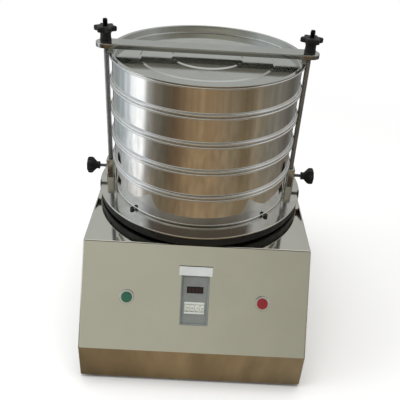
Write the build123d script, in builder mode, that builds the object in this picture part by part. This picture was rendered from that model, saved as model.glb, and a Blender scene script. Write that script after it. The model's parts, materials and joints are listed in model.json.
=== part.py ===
from build123d import *
import math
import os

os.makedirs("parts", exist_ok=True)

# Vibrating sieve: a spring-borne tray, shaken by an unbalance motor, carries a clamped stack of test sieves.
# Millimetres, +Z up, the control panel faces -Y, the origin is under the middle of the whole machine.

# Base housing
base_width = 360.0
base_depth = 434.0
base_height = 208.0
foot_height = 6.0
housing_sheet = 2.0
fold_radius = 3.0
panel_run = 89.0
strip_height = 62.0
fold_to_stack = 170.0
top_opening_radius = 140.0
bottom_plate_thickness = 3.0
fit_gap = 0.2

# Rear cover, screws, gland and feet
cover_width = 300.0
cover_height = 150.0
cover_sheet = 2.0
cover_lap = 10.0
vent_length = 70.0
vent_width = 4.0
vent_pitch = 11.0
vent_rows = 6
vent_offset = 70.0
screw_radius = 2.0
screw_head_radius = 3.8
screw_head_height = 2.4
screw_columns = 2
screw_rows = 3
screw_gap = 0.1
gland_reach = 12.0
gland_taper = 12.0
gland_radius = 8.0
gland_thread_radius = 6.0
gland_bore_radius = 3.6
gland_height = 60.0
gland_x = 120.0
foot_radius = 15.0
foot_taper = 3.0
foot_inset = 32.0

# Terminal block inside the rear
terminal_width = 60.0
terminal_depth = 20.0
terminal_height = 25.0
terminal_inset = 40.0
terminal_count = 5

# Control panel
timer_width = 45.0
timer_height = 92.0
timer_bezel = 5.0
timer_rim = 2.5
bezel_edge = 0.6
timer_body_width = 41.0
timer_body_height = 84.0
timer_body_depth = 80.0
timer_drop = 80.0
face_recess = 1.5
face_sheet = 1.5
strip_width = 52.0
strip_label_height = 14.0
strip_label_sheet = 0.6
window_width = 26.0
window_height = 10.5
window_rise = 10.0
window_sheet = 2.0
window_edge = 0.3
wheel_count = 4
wheel_radius = 12.0
wheel_width = 6.0
wheel_pitch = 7.8
wheel_proud = 1.4
wheel_drop = 18.5
wheel_teeth = 20
wheel_tooth_radius = 0.8
wheel_axle_radius = 1.5
wheel_room = 1.0
running_gap = 0.05
button_spacing = 214.0
button_drop = 86.5
cap_radius = 8.5
cap_proud = 5.0
cap_edge = 1.2
cap_skirt = 6.0
cap_gap = 0.2
stem_radius = 3.0
stem_length = 7.0
button_travel = 3.0
barrel_wall = 1.4
barrel_depth = 14.0
bezel_radius = 11.5
bezel_height = 3.0
nut_radius = 14.0
nut_height = 4.0
contact_width = 18.0
contact_depth = 26.0

# Tray, vibrating plate and springs
plate_clearance = 3.0
plate_inset = 2.0
plate_depth = 16.0
plate_web = 8.0
plate_edge = 2.0
plate_rim = 26.0
plate_rib_count = 8
plate_rib = 6.0
plate_rib_depth = 4.0
plate_boss_radius = 66.0
plate_boss_depth = 6.0
tray_margin = 18.0
tray_sheet = 2.0
tray_edge = 1.0
tray_bolt_gap = 0.9
tray_bolt_radius = 2.5
tray_bolt_head_radius = 3.5
tray_bolt_head_height = 3.5
diagonal_count = 4
diagonal_angle = 45.0
spring_reach = 108.0
spring_radius = 17.0
spring_wire = 4.0
wire_gap = 0.1
spring_turns = 5
spring_length = 56.0
spring_seat_radius = 21.0
spring_seat_depth = 4.0
spigot_radius = 11.0
spigot_depth = 6.0
pedestal_radius = 18.0
pedestal_foot_radius = 28.0
pedestal_foot_height = 4.0
pedestal_seat_height = 5.0

# Unbalance motor
bell_height = 54.0
bell_radius = 50.0
bell_wall = 4.0
bell_flange_radius = 64.0
bell_flange = 6.0
bell_window_width = 30.0
bell_window_height = 26.0
motor_radius = 48.0
motor_bore = 42.0
motor_height = 78.0
motor_end_wall = 15.0
fin_count = 16
fin_reach = 6.0
fin_thickness = 3.0
bearing_radius = 20.0
bearing_width = 12.0
shaft_radius = 8.5
shaft_seal_gap = 2.0
shaft_chamfer = 1.0
shaft_overhang = 2.0
press_gap = 0.02
bearing_ring = 3.5
bearing_groove = 1.5
stator_height = 41.0
stator_bore = 26.5
air_gap = 0.5
end_cover_depth = 50.0
end_cover_wall = 3.0
weight_radius = 40.0
weight_hub_radius = 15.0
upper_weight_height = 28.0
lower_weight_height = 24.0
weight_gap = 6.0
motor_bolt_count = 4
motor_bolt_reach = 57.0
motor_bolt_radius = 3.0
motor_bolt_head_radius = 5.0
motor_bolt_head_height = 5.0

# Sieve stack
sieve_bore = 300.0
sieve_sheet = 1.0
sieve_height = 44.8
sieve_count = 4
bead_reach = 4.0
bead_height = 5.0
nest_depth = 8.0
nest_gap = 0.3
seat_gap = 0.2
mesh_sheet = 0.8
mesh_rise = 3.0
coarse_aperture = 19.0
coarse_bar = 5.0
coarse_sheet = 1.5
coarse_margin = 3.0
mesh_gap = 0.1
pan_height = 53.8
pan_corner = 3.0
lid_recess = 11.0
lid_step = 1.5
lid_inner_ring = 55.0
lid_outer_ring = 105.0
lid_slope = 3.0
lid_corner = 2.5

# Clamp
rod_clearance = 2.0
rod_radius = 4.0
rod_gap = 0.05
rod_proud = 10.8
post_radial = 14.0
post_width = 20.0
post_height = 35.0
post_floor = 5.0
post_corner = 3.0
post_chamfer = 1.0
post_stud_radius = 4.0
rod_chamfer = 1.0
lock_height = 19.0
lock_screw_radius = 3.0
lock_knob_start = 20.0
lock_hub_length = 6.0
lock_hub_radius = 7.0
lock_flare_length = 7.5
lock_head_length = 8.0
lock_edge = 2.0
lock_screw_grip = 12.0
lock_head_radius = 15.0
lock_flutes = 7
lock_flute_radius = 4.0
bar_width = 32.0
bar_height = 7.5
bar_sheet = 2.0
bar_fold = 1.5
bar_hole_gap = 0.5
washer_radius = 9.0
washer_thickness = 1.6
knob_hub_radius = 9.0
knob_hub_height = 14.0
knob_head_radius = 18.0
knob_head_height = 8.0
knob_lobes = 6
knob_lobe_radius = 5.0
knob_edge = 1.5

# Levels and places worked out from the sizes above
base_bottom = foot_height
base_top = base_bottom + base_height
base_front = -(base_depth + cover_sheet + gland_reach) / 2
base_rear = base_front + base_depth
panel_foot = base_bottom + strip_height
panel_top_y = base_front + panel_run
panel_rise = base_top - panel_foot
stack_y = panel_top_y + fold_to_stack
floor_top = base_bottom + bottom_plate_thickness
plate_bottom = base_top + plate_clearance
plate_top = plate_bottom + plate_depth
web_bottom = plate_top - plate_web
tray_top = plate_top + tray_sheet
spring_top = web_bottom - spring_seat_depth
spring_bottom = spring_top - spring_length
bell_top = web_bottom - plate_boss_depth
bell_bottom = bell_top - bell_height
motor_bottom = bell_bottom - motor_height
lower_bearing = motor_bottom - bearing_width
upper_bearing = bell_bottom - motor_end_wall
stator_bottom = (motor_bottom + bell_bottom - motor_end_wall - stator_height) / 2
end_cover_bottom = motor_bottom - end_cover_depth
lower_weight_bottom = motor_bottom - motor_end_wall - weight_gap - lower_weight_height
upper_weight_bottom = bell_bottom + weight_gap
shaft_bottom = lower_weight_bottom - shaft_overhang
shaft_top = upper_weight_bottom + upper_weight_height + shaft_overhang
bore_radius = sieve_bore / 2
wall_radius = bore_radius + sieve_sheet
bead_radius = wall_radius + bead_reach
pan_bottom = tray_top + seat_gap
pan_top = pan_bottom + pan_height
sieve_pitch = sieve_height + seat_gap
stack_top = pan_top + sieve_count * sieve_pitch
lid_bottom = stack_top + seat_gap
lid_top = lid_bottom + sieve_sheet
bar_bottom = lid_top + seat_gap
bar_top = bar_bottom + bar_height
knob_bottom = bar_top + washer_thickness + seat_gap
knob_top = knob_bottom + knob_hub_height + knob_head_height
rod_top = knob_top + rod_proud
rod_reach = bead_radius + rod_clearance + rod_radius
tray_radius = rod_reach + tray_margin
plate_radius = tray_radius - plate_inset
tray_bolt_reach = wall_radius + tray_bolt_gap + tray_bolt_head_radius
pan_foot_radius = wall_radius - pan_corner
lock_z = tray_top + lock_height

stack_plane = Plane.XZ.offset(-stack_y)
stack_axis = Axis((0, stack_y, 0), (0, 0, 1))
panel_normal = (0, -panel_rise, panel_run)
panel_plane = Plane(origin=(0, panel_top_y, base_top), x_dir=(1, 0, 0), z_dir=panel_normal)
panel_axis = Axis((0, panel_top_y, base_top), panel_normal)
button_places = {"start": (-button_spacing / 2, -button_drop), "stop": (button_spacing / 2, -button_drop)}
sides = {"left": -1, "right": 1}

# Base housing: one folded sheet, open below, with the motor opening, the rear opening and the panel cut-outs
cover_middle = base_bottom + base_height / 2
barrel_radius = cap_radius + cap_gap + barrel_wall
opening_width = cover_width - 2 * cover_lap
opening_height = cover_height - 2 * cover_lap
screw_span_x = cover_width - cover_lap
screw_step_z = (cover_height - cover_lap) / (screw_rows - 1)
with BuildPart() as base_housing:
    with BuildSketch(Plane.YZ):
        with BuildLine():
            Polyline(
                (base_front, base_bottom),
                (base_front, panel_foot),
                (panel_top_y, base_top),
                (base_rear, base_top),
                (base_rear, base_bottom),
                close=True,
            )
        make_face()
    extrude(amount=base_width / 2, both=True)
    fillet(edges().filter_by(lambda edge: edge.center().Z > base_bottom + fit_gap), fold_radius)
    offset(amount=-housing_sheet, openings=faces().sort_by(Axis.Z)[0])
    with BuildSketch(Plane.XY.offset(base_top)):
        with Locations((0, stack_y)):
            Circle(top_opening_radius)
    extrude(amount=-2 * housing_sheet, mode=Mode.SUBTRACT)
    with BuildSketch(Plane.XZ.offset(-base_rear)):
        with Locations((0, cover_middle)):
            Rectangle(opening_width, opening_height)
            with GridLocations(screw_span_x, screw_step_z, screw_columns, screw_rows):
                Circle(screw_radius + screw_gap)
    extrude(amount=2 * housing_sheet, mode=Mode.SUBTRACT)
    with BuildSketch(panel_plane):
        with Locations((0, -timer_drop)):
            Rectangle(timer_body_width + fit_gap, timer_body_height + fit_gap)
        with Locations(*button_places.values()):
            Circle(barrel_radius + screw_gap)
    extrude(amount=-2 * housing_sheet, mode=Mode.SUBTRACT)
base_housing.part.label = "base_housing"
export_step(base_housing.part, "parts/base_housing.step")

# Rear cover with vent slots and the hole for the cable gland
gland_place = (gland_x, base_bottom + gland_height)
with BuildPart() as rear_cover:
    with BuildSketch(Plane.XZ.offset(-(base_rear + cover_sheet))):
        with Locations((0, cover_middle)):
            RectangleRounded(cover_width, cover_height, cover_lap / 2)
        with Locations((0, cover_middle)):
            with GridLocations(screw_span_x, screw_step_z, screw_columns, screw_rows):
                Circle(screw_radius + screw_gap, mode=Mode.SUBTRACT)
            with GridLocations(2 * vent_offset, vent_pitch, 2, vent_rows):
                SlotOverall(vent_length, vent_width, mode=Mode.SUBTRACT)
        with Locations(gland_place):
            Circle(gland_thread_radius + screw_gap, mode=Mode.SUBTRACT)
    extrude(amount=cover_sheet)
rear_cover.part.label = "rear_cover"
export_step(rear_cover.part, "parts/rear_cover.step")

# Cable gland in the rear cover: flange, dome nut and thread around a through bore
with BuildPart() as cable_gland:
    with BuildSketch(Plane.XZ.offset(-(base_rear + cover_sheet))):
        with Locations(gland_place):
            RegularPolygon(gland_radius, 6)
    extrude(amount=-gland_reach / 2)
    with BuildSketch(Plane.XZ.offset(-(base_rear + cover_sheet + gland_reach / 2))):
        with Locations(gland_place):
            Circle(gland_radius * math.cos(math.pi / 6))
    extrude(amount=-gland_reach / 2, taper=gland_taper)
    with BuildSketch(Plane.XZ.offset(-(base_rear + cover_sheet))):
        with Locations(gland_place):
            Circle(gland_thread_radius)
    extrude(amount=gland_reach)
    with BuildSketch(Plane.XZ.offset(-(base_rear + cover_sheet + gland_reach))):
        with Locations(gland_place):
            Circle(gland_bore_radius)
    extrude(amount=2 * gland_reach + cover_sheet, mode=Mode.SUBTRACT)
cable_gland.part.label = "cable_gland"
export_step(cable_gland.part, "parts/cable_gland.step")

# Screws of the rear cover
with BuildPart() as cover_screws:
    with BuildSketch(Plane.XZ.offset(-(base_rear + cover_sheet))):
        with Locations((0, cover_middle)):
            with GridLocations(screw_span_x, screw_step_z, screw_columns, screw_rows):
                Circle(screw_head_radius)
    extrude(amount=-screw_head_height)
    with BuildSketch(Plane.XZ.offset(-(base_rear + cover_sheet))):
        with Locations((0, cover_middle)):
            with GridLocations(screw_span_x, screw_step_z, screw_columns, screw_rows):
                Circle(screw_radius)
    extrude(amount=cover_sheet + 2 * housing_sheet)
cover_screws.part.label = "cover_screws"
export_step(cover_screws.part, "parts/cover_screws.step")

# Bottom plate inside the housing's lower edge
inner_width = base_width - 2 * (housing_sheet + fit_gap)
inner_depth = base_depth - 2 * (housing_sheet + fit_gap)
base_middle_y = (base_front + base_rear) / 2
with BuildPart() as bottom_plate:
    with BuildSketch(Plane.XY.offset(base_bottom)):
        with Locations((0, base_middle_y)):
            RectangleRounded(inner_width, inner_depth, fold_radius)
    extrude(amount=bottom_plate_thickness)
bottom_plate.part.label = "bottom_plate"
export_step(bottom_plate.part, "parts/bottom_plate.step")

# Four rubber feet, tapered towards the table
foot_span_x = base_width - 2 * foot_inset
foot_span_y = base_depth - 2 * foot_inset
foot_angle = math.degrees(math.atan(foot_taper / foot_height))
with BuildPart() as rubber_feet:
    with BuildSketch(Plane.XY.offset(base_bottom)):
        with Locations((0, base_middle_y)):
            with GridLocations(foot_span_x, foot_span_y, 2, 2):
                Circle(foot_radius)
    extrude(amount=-foot_height, taper=foot_angle)
rubber_feet.part.label = "rubber_feet"
export_step(rubber_feet.part, "parts/rubber_feet.step")

# Terminal block on the bottom plate, in the middle of the rear
with BuildPart() as terminal_block:
    with BuildSketch(Plane.XY.offset(floor_top)):
        with Locations((0, base_rear - terminal_inset)):
            Rectangle(terminal_width, terminal_depth)
    extrude(amount=terminal_height)
    with BuildSketch(Plane.XY.offset(floor_top + terminal_height)):
        with Locations((0, base_rear - terminal_inset)):
            with GridLocations(terminal_width / terminal_count, terminal_depth / 2, terminal_count, 2):
                Circle(screw_radius)
    extrude(amount=-terminal_height / 2, mode=Mode.SUBTRACT)
terminal_block.part.label = "terminal_block"
export_step(terminal_block.part, "parts/terminal_block.step")

# Timer body: bezel on the panel, box behind it, pockets for the face plate and the thumbwheels
wheel_y = -(timer_drop + wheel_drop)
wheel_axis_depth = timer_bezel - face_recess - wheel_radius + wheel_proud
wheel_span = (wheel_count - 1) * wheel_pitch + wheel_width
wheel_pocket = 2 * (wheel_radius + wheel_room)
wheel_hidden = wheel_radius - wheel_proud - face_sheet
wheel_slot_height = 2 * math.sqrt(wheel_radius**2 - wheel_hidden**2) + wheel_room
window_y = -timer_drop + window_rise
with BuildPart() as timer_body:
    with BuildSketch(panel_plane):
        with Locations((0, -timer_drop)):
            RectangleRounded(timer_width, timer_height, timer_rim)
    extrude(amount=timer_bezel)
    fillet(faces().sort_by(panel_axis)[-1].edges(), bezel_edge)
    with BuildSketch(panel_plane):
        with Locations((0, -timer_drop)):
            Rectangle(timer_body_width, timer_body_height)
    extrude(amount=-timer_body_depth)
    with BuildSketch(panel_plane.offset(timer_bezel)):
        with Locations((0, -timer_drop)):
            Rectangle(timer_width - 2 * timer_rim, timer_height - 2 * timer_rim)
    extrude(amount=-(face_recess + face_sheet), mode=Mode.SUBTRACT)
    with BuildSketch(panel_plane.offset(timer_bezel)):
        with Locations((0, wheel_y)):
            Rectangle(wheel_span + wheel_pitch - wheel_width, wheel_pocket)
    extrude(amount=wheel_axis_depth - timer_bezel - wheel_pocket / 2, mode=Mode.SUBTRACT)
timer_body.part.label = "timer_body"
export_step(timer_body.part, "parts/timer_body.step")

# Timer face plate with the display opening and one slot for each thumbwheel
with BuildPart() as timer_face:
    with BuildSketch(panel_plane.offset(timer_bezel - face_recess)):
        with Locations((0, -timer_drop)):
            Rectangle(timer_width - 2 * timer_rim - fit_gap, timer_height - 2 * timer_rim - fit_gap)
        with Locations((0, window_y)):
            Rectangle(window_width, window_height, mode=Mode.SUBTRACT)
        with Locations((0, wheel_y)):
            with GridLocations(wheel_pitch, 1, wheel_count, 1):
                Rectangle(wheel_width + 2 * fit_gap, wheel_slot_height, mode=Mode.SUBTRACT)
    extrude(amount=-face_sheet)
timer_face.part.label = "timer_face"
export_step(timer_face.part, "parts/timer_face.step")

# Display window, held in the opening of the face plate
with BuildPart() as timer_window:
    with BuildSketch(panel_plane.offset(timer_bezel - face_recess - face_sheet)):
        with Locations((0, window_y)):
            Rectangle(window_width - fit_gap, window_height - fit_gap)
    extrude(amount=window_sheet)
    chamfer(faces().sort_by(panel_axis)[-1].edges(), window_edge)
timer_window.part.label = "timer_window"
export_step(timer_window.part, "parts/timer_window.step")

# Bare label strip across the top of the timer
strip_y = -timer_drop + timer_height / 2 - strip_label_height / 2 + bezel_edge
with BuildPart() as label_strip:
    with BuildSketch(panel_plane.offset(timer_bezel)):
        with Locations((0, strip_y)):
            Rectangle(strip_width, strip_label_height)
    extrude(amount=strip_label_sheet)
label_strip.part.label = "label_strip"
export_step(label_strip.part, "parts/label_strip.step")

# Axle of the thumbwheels, held by the two walls of the wheel pocket
axle_length = wheel_span + wheel_pitch - wheel_width
wheel_centre = panel_plane.offset(wheel_axis_depth).from_local_coords((0, wheel_y, 0))
wheel_side_plane = Plane(origin=wheel_centre, x_dir=(0, 1, 0), z_dir=(1, 0, 0))
with BuildPart() as wheel_axle:
    with BuildSketch(wheel_side_plane):
        Circle(wheel_axle_radius)
    extrude(amount=axle_length / 2, both=True)
wheel_axle.part.label = "wheel_axle"
export_step(wheel_axle.part, "parts/wheel_axle.step")

# Four thumbwheels with a toothed rim, side by side on the axle
wheel_blank_radius = wheel_radius - wheel_tooth_radius / 2
for index in range(wheel_count):
    wheel_x = (index - (wheel_count - 1) / 2) * wheel_pitch - wheel_width / 2
    with BuildPart() as thumbwheel:
        with BuildSketch(wheel_side_plane.offset(wheel_x)):
            Circle(wheel_blank_radius)
            with PolarLocations(wheel_blank_radius, wheel_teeth):
                Circle(wheel_tooth_radius / 2)
            Circle(wheel_axle_radius + running_gap, mode=Mode.SUBTRACT)
        extrude(amount=wheel_width)
    thumbwheel.part.label = f"thumbwheel_{index + 1}"
    export_step(thumbwheel.part, f"parts/thumbwheel_{index + 1}.step")

# Push buttons: bezel ring with threaded barrel and nut, contact block behind, and the cap that travels
barrel_bore = cap_radius + cap_gap
stem_hole = stem_radius + cap_gap
for button, place in button_places.items():
    with BuildPart() as bezel:
        with BuildSketch(panel_plane):
            with Locations(place):
                Circle(bezel_radius)
        extrude(amount=bezel_height)
        fillet(faces().sort_by(panel_axis)[-1].edges(), bezel_edge)
        with BuildSketch(panel_plane):
            with Locations(place):
                Circle(barrel_radius)
        extrude(amount=-barrel_depth)
        with BuildSketch(panel_plane.offset(-housing_sheet)):
            with Locations(place):
                RegularPolygon(nut_radius, 6)
        extrude(amount=-nut_height)
        with BuildSketch(panel_plane.offset(bezel_height)):
            with Locations(place):
                Circle(barrel_bore)
        extrude(amount=-(bezel_height + barrel_depth), mode=Mode.SUBTRACT)
    bezel.part.label = f"{button}_bezel"
    export_step(bezel.part, f"parts/{button}_bezel.step")

    with BuildPart() as contact_block:
        with BuildSketch(panel_plane.offset(-barrel_depth)):
            with Locations(place):
                Rectangle(contact_width, contact_width)
                Circle(stem_hole, mode=Mode.SUBTRACT)
        extrude(amount=-contact_depth)
    contact_block.part.label = f"{button}_contact_block"
    export_step(contact_block.part, f"parts/{button}_contact_block.step")

    with BuildPart() as cap:
        with BuildSketch(panel_plane.offset(-cap_skirt)):
            with Locations(place):
                Circle(cap_radius)
        extrude(amount=cap_skirt + cap_proud)
        fillet(faces().sort_by(panel_axis)[-1].edges(), cap_edge)
        with BuildSketch(panel_plane.offset(-cap_skirt)):
            with Locations(place):
                Circle(stem_radius)
        extrude(amount=-(stem_length + button_travel))
    cap.part.label = f"{button}_button"
    export_step(cap.part, f"parts/{button}_button.step")

# Vibrating plate: black casting with a deep rim, a web, radial ribs, spring seats and the motor boss
with BuildPart() as vibrating_plate:
    with BuildSketch(Plane.XY.offset(plate_bottom)):
        with Locations((0, stack_y)):
            Circle(plate_radius)
            Circle(plate_radius - plate_rim, mode=Mode.SUBTRACT)
    extrude(amount=plate_depth)
    with BuildSketch(Plane.XY.offset(web_bottom)):
        with Locations((0, stack_y)):
            Circle(plate_radius - plate_rim)
    extrude(amount=plate_web)
    fillet(faces().sort_by(Axis.Z)[0].outer_wire().edges(), plate_edge)
    with BuildSketch(Plane.XY.offset(web_bottom)):
        with Locations((0, stack_y)):
            with PolarLocations(plate_radius / 2, plate_rib_count):
                Rectangle(plate_radius - plate_rim, plate_rib)
    extrude(amount=-plate_rib_depth)
    with BuildSketch(Plane.XY.offset(web_bottom)):
        with Locations((0, stack_y)):
            Circle(plate_boss_radius)
    extrude(amount=-plate_boss_depth)
    with BuildSketch(Plane.XY.offset(web_bottom)):
        with Locations((0, stack_y)):
            with PolarLocations(spring_reach, diagonal_count, diagonal_angle):
                Circle(spring_seat_radius)
    extrude(amount=-spring_seat_depth)
    with BuildSketch(Plane.XY.offset(spring_top)):
        with Locations((0, stack_y)):
            with PolarLocations(spring_reach, diagonal_count, diagonal_angle):
                Circle(spigot_radius)
    extrude(amount=-spigot_depth)
    with BuildSketch(Plane.XY.offset(plate_top)):
        with Locations((0, stack_y)):
            with PolarLocations(tray_bolt_reach, diagonal_count, diagonal_angle):
                Circle(tray_bolt_radius + screw_gap)
            with PolarLocations(motor_bolt_reach, motor_bolt_count):
                Circle(motor_bolt_radius + screw_gap)
            with GridLocations(2 * rod_reach, 1, 2, 1):
                Circle(post_stud_radius + screw_gap)
    extrude(amount=-2 * plate_depth, mode=Mode.SUBTRACT)
vibrating_plate.part.label = "vibrating_plate"
export_step(vibrating_plate.part, "parts/vibrating_plate.step")

# Round tray: a disc with an eased edge, holes for its bolts and for the feet of the clamp posts
with BuildPart() as tray_disc:
    with BuildSketch(Plane.XY.offset(plate_top)):
        with Locations((0, stack_y)):
            Circle(tray_radius)
    extrude(amount=tray_sheet)
    fillet(faces().sort_by(Axis.Z)[-1].edges(), tray_edge)
    with BuildSketch(Plane.XY.offset(tray_top)):
        with Locations((0, stack_y)):
            with PolarLocations(tray_bolt_reach, diagonal_count, diagonal_angle):
                Circle(tray_bolt_radius + screw_gap)
            with GridLocations(2 * rod_reach, 1, 2, 1):
                Circle(post_stud_radius + screw_gap)
    extrude(amount=-tray_sheet, mode=Mode.SUBTRACT)
tray_disc.part.label = "tray_disc"
export_step(tray_disc.part, "parts/tray_disc.step")

# Four socket-head bolts that hold the tray down on the vibrating plate, close around the pan's foot
with BuildPart() as tray_bolts:
    with BuildSketch(Plane.XY.offset(tray_top)):
        with Locations((0, stack_y)):
            with PolarLocations(tray_bolt_reach, diagonal_count, diagonal_angle):
                Circle(tray_bolt_head_radius)
                RegularPolygon(tray_bolt_radius, 6, mode=Mode.SUBTRACT)
    extrude(amount=tray_bolt_head_height)
    with BuildSketch(Plane.XY.offset(tray_top + tray_bolt_head_height / 2)):
        with Locations((0, stack_y)):
            with PolarLocations(tray_bolt_reach, diagonal_count, diagonal_angle):
                Circle(tray_bolt_radius)
    extrude(amount=-(tray_bolt_head_height / 2 + tray_sheet + plate_depth))
tray_bolts.part.label = "tray_bolts"
export_step(tray_bolts.part, "parts/tray_bolts.step")

# Spring pedestals: foot flange on the bottom plate, column, seat and spigot under each spring
with BuildPart() as spring_pedestals:
    for level, radius, height in (
        (floor_top, pedestal_foot_radius, pedestal_foot_height),
        (floor_top, pedestal_radius, spring_bottom - floor_top),
        (spring_bottom - pedestal_seat_height, spring_seat_radius, pedestal_seat_height),
        (spring_bottom, spigot_radius, spigot_depth),
    ):
        with BuildSketch(Plane.XY.offset(level)):
            with Locations((0, stack_y)):
                with PolarLocations(spring_reach, diagonal_count, diagonal_angle):
                    Circle(radius)
        extrude(amount=height)
spring_pedestals.part.label = "spring_pedestals"
export_step(spring_pedestals.part, "parts/spring_pedestals.step")

# Four coil springs between the pedestals and the vibrating plate
coil_radius = spring_radius - spring_wire / 2
coil_height = spring_length - spring_wire
coil_pitch = coil_height / spring_turns
coil_bottom = spring_bottom + spring_wire / 2
spring_copies = []
for place in PolarLocations(spring_reach, diagonal_count, diagonal_angle):
    spring_x = place.position.X
    spring_y = stack_y + place.position.Y
    with BuildPart() as coil:
        with BuildLine():
            coil_path = Helix(coil_pitch, coil_height, coil_radius, center=(spring_x, spring_y, coil_bottom))
        with BuildSketch(Plane(origin=coil_path @ 0, z_dir=coil_path % 0)):
            Circle(spring_wire / 2 - wire_gap)
        sweep()
    spring_copies.append(coil.part)
support_springs = Compound(children=spring_copies)
support_springs.label = "support_springs"
export_step(support_springs, "parts/support_springs.step")

# Motor bell: flanged tube with four windows, bolted under the vibrating plate, around the upper weight
with BuildPart() as motor_bell:
    for level in (bell_bottom, bell_top - bell_flange):
        with BuildSketch(Plane.XY.offset(level)):
            with Locations((0, stack_y)):
                Circle(bell_flange_radius)
        extrude(amount=bell_flange)
    with BuildSketch(Plane.XY.offset(bell_bottom)):
        with Locations((0, stack_y)):
            Circle(bell_radius)
    extrude(amount=bell_height)
    with BuildSketch(Plane.XY.offset(bell_bottom)):
        with Locations((0, stack_y)):
            Circle(bell_radius - bell_wall)
            with PolarLocations(motor_bolt_reach, motor_bolt_count):
                Circle(motor_bolt_radius + screw_gap)
    extrude(amount=bell_height, mode=Mode.SUBTRACT)
    bell_middle = (0, stack_y, (bell_bottom + bell_top) / 2)
    for across in ((1, 1, 0), (1, -1, 0)):
        with BuildSketch(Plane(origin=bell_middle, x_dir=(0, 0, 1), z_dir=across)):
            RectangleRounded(bell_window_height, bell_window_width, bell_wall)
        extrude(amount=bell_radius + bell_wall, both=True, mode=Mode.SUBTRACT)
motor_bell.part.label = "motor_bell"
export_step(motor_bell.part, "parts/motor_bell.step")

# Motor housing: finned cylinder with the upper bearing seat, open towards the end cover
with BuildPart() as motor_housing:
    with BuildSketch(Plane.XY.offset(motor_bottom)):
        with Locations((0, stack_y)):
            Circle(motor_radius)
            with PolarLocations(motor_radius, fin_count, 180 / fin_count):
                Rectangle(2 * fin_reach, fin_thickness)
    extrude(amount=motor_height - bell_flange)
    with BuildSketch(Plane.XY.offset(bell_bottom - bell_flange)):
        with Locations((0, stack_y)):
            Circle(bell_flange_radius)
            with PolarLocations(motor_bolt_reach, motor_bolt_count):
                Circle(motor_bolt_radius + screw_gap, mode=Mode.SUBTRACT)
    extrude(amount=bell_flange)
    with BuildSketch(Plane.XY.offset(motor_bottom)):
        with Locations((0, stack_y)):
            Circle(motor_bore)
    extrude(amount=motor_height - motor_end_wall, mode=Mode.SUBTRACT)
    with BuildSketch(Plane.XY.offset(upper_bearing)):
        with Locations((0, stack_y)):
            Circle(bearing_radius + press_gap)
    extrude(amount=bearing_width, mode=Mode.SUBTRACT)
    with BuildSketch(Plane.XY.offset(motor_bottom)):
        with Locations((0, stack_y)):
            Circle(shaft_radius + shaft_seal_gap)
    extrude(amount=motor_height, mode=Mode.SUBTRACT)
motor_housing.part.label = "motor_housing"
export_step(motor_housing.part, "parts/motor_housing.step")

# End cover: lower bearing wall with a skirt around the lower weight
with BuildPart() as motor_end_cover:
    with BuildSketch(Plane.XY.offset(end_cover_bottom)):
        with Locations((0, stack_y)):
            Circle(motor_radius)
    extrude(amount=end_cover_depth)
    with BuildSketch(Plane.XY.offset(end_cover_bottom)):
        with Locations((0, stack_y)):
            Circle(motor_radius - end_cover_wall)
    extrude(amount=end_cover_depth - motor_end_wall, mode=Mode.SUBTRACT)
    with BuildSketch(Plane.XY.offset(motor_bottom)):
        with Locations((0, stack_y)):
            Circle(bearing_radius + press_gap)
    extrude(amount=-bearing_width, mode=Mode.SUBTRACT)
    with BuildSketch(Plane.XY.offset(motor_bottom)):
        with Locations((0, stack_y)):
            Circle(shaft_radius + shaft_seal_gap)
    extrude(amount=-motor_end_wall, mode=Mode.SUBTRACT)
motor_end_cover.part.label = "motor_end_cover"
export_step(motor_end_cover.part, "parts/motor_end_cover.step")

# Bolts of the motor: four up into the vibrating plate, four through the two lower flanges
with BuildPart() as motor_bolts:
    for head_top, grip in (
        (bell_top - bell_flange, bell_flange + plate_boss_depth),
        (bell_bottom - bell_flange, 2 * bell_flange),
    ):
        with BuildSketch(Plane.XY.offset(head_top)):
            with Locations((0, stack_y)):
                with PolarLocations(motor_bolt_reach, motor_bolt_count):
                    RegularPolygon(motor_bolt_head_radius, 6)
        extrude(amount=-motor_bolt_head_height)
        with BuildSketch(Plane.XY.offset(head_top)):
            with Locations((0, stack_y)):
                with PolarLocations(motor_bolt_reach, motor_bolt_count):
                    Circle(motor_bolt_radius)
        extrude(amount=grip)
motor_bolts.part.label = "motor_bolts"
export_step(motor_bolts.part, "parts/motor_bolts.step")

# Stator ring in the bore of the motor housing
with BuildPart() as stator_core:
    with BuildSketch(Plane.XY.offset(stator_bottom)):
        with Locations((0, stack_y)):
            Circle(motor_bore - press_gap)
            Circle(stator_bore, mode=Mode.SUBTRACT)
    extrude(amount=stator_height)
stator_core.part.label = "stator_core"
export_step(stator_core.part, "parts/stator_core.step")

# Two ball bearings with a groove between their rings
with BuildPart() as motor_bearings:
    for level in (lower_bearing, upper_bearing):
        with BuildSketch(Plane.XY.offset(level)):
            with Locations((0, stack_y)):
                Circle(bearing_radius)
                Circle(shaft_radius + running_gap, mode=Mode.SUBTRACT)
        extrude(amount=bearing_width)
        for face_level, depth in ((level, bearing_groove), (level + bearing_width, -bearing_groove)):
            with BuildSketch(Plane.XY.offset(face_level)):
                with Locations((0, stack_y)):
                    Circle(bearing_radius - bearing_ring)
                    Circle(shaft_radius + bearing_ring, mode=Mode.SUBTRACT)
            extrude(amount=depth, mode=Mode.SUBTRACT)
motor_bearings.part.label = "motor_bearings"
export_step(motor_bearings.part, "parts/motor_bearings.step")

# Motor shaft
with BuildPart() as motor_shaft:
    with BuildSketch(Plane.XY.offset(shaft_bottom)):
        with Locations((0, stack_y)):
            Circle(shaft_radius)
    extrude(amount=shaft_top - shaft_bottom)
    chamfer(edges().filter_by(GeomType.CIRCLE), shaft_chamfer)
motor_shaft.part.label = "motor_shaft"
export_step(motor_shaft.part, "parts/motor_shaft.step")

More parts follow.
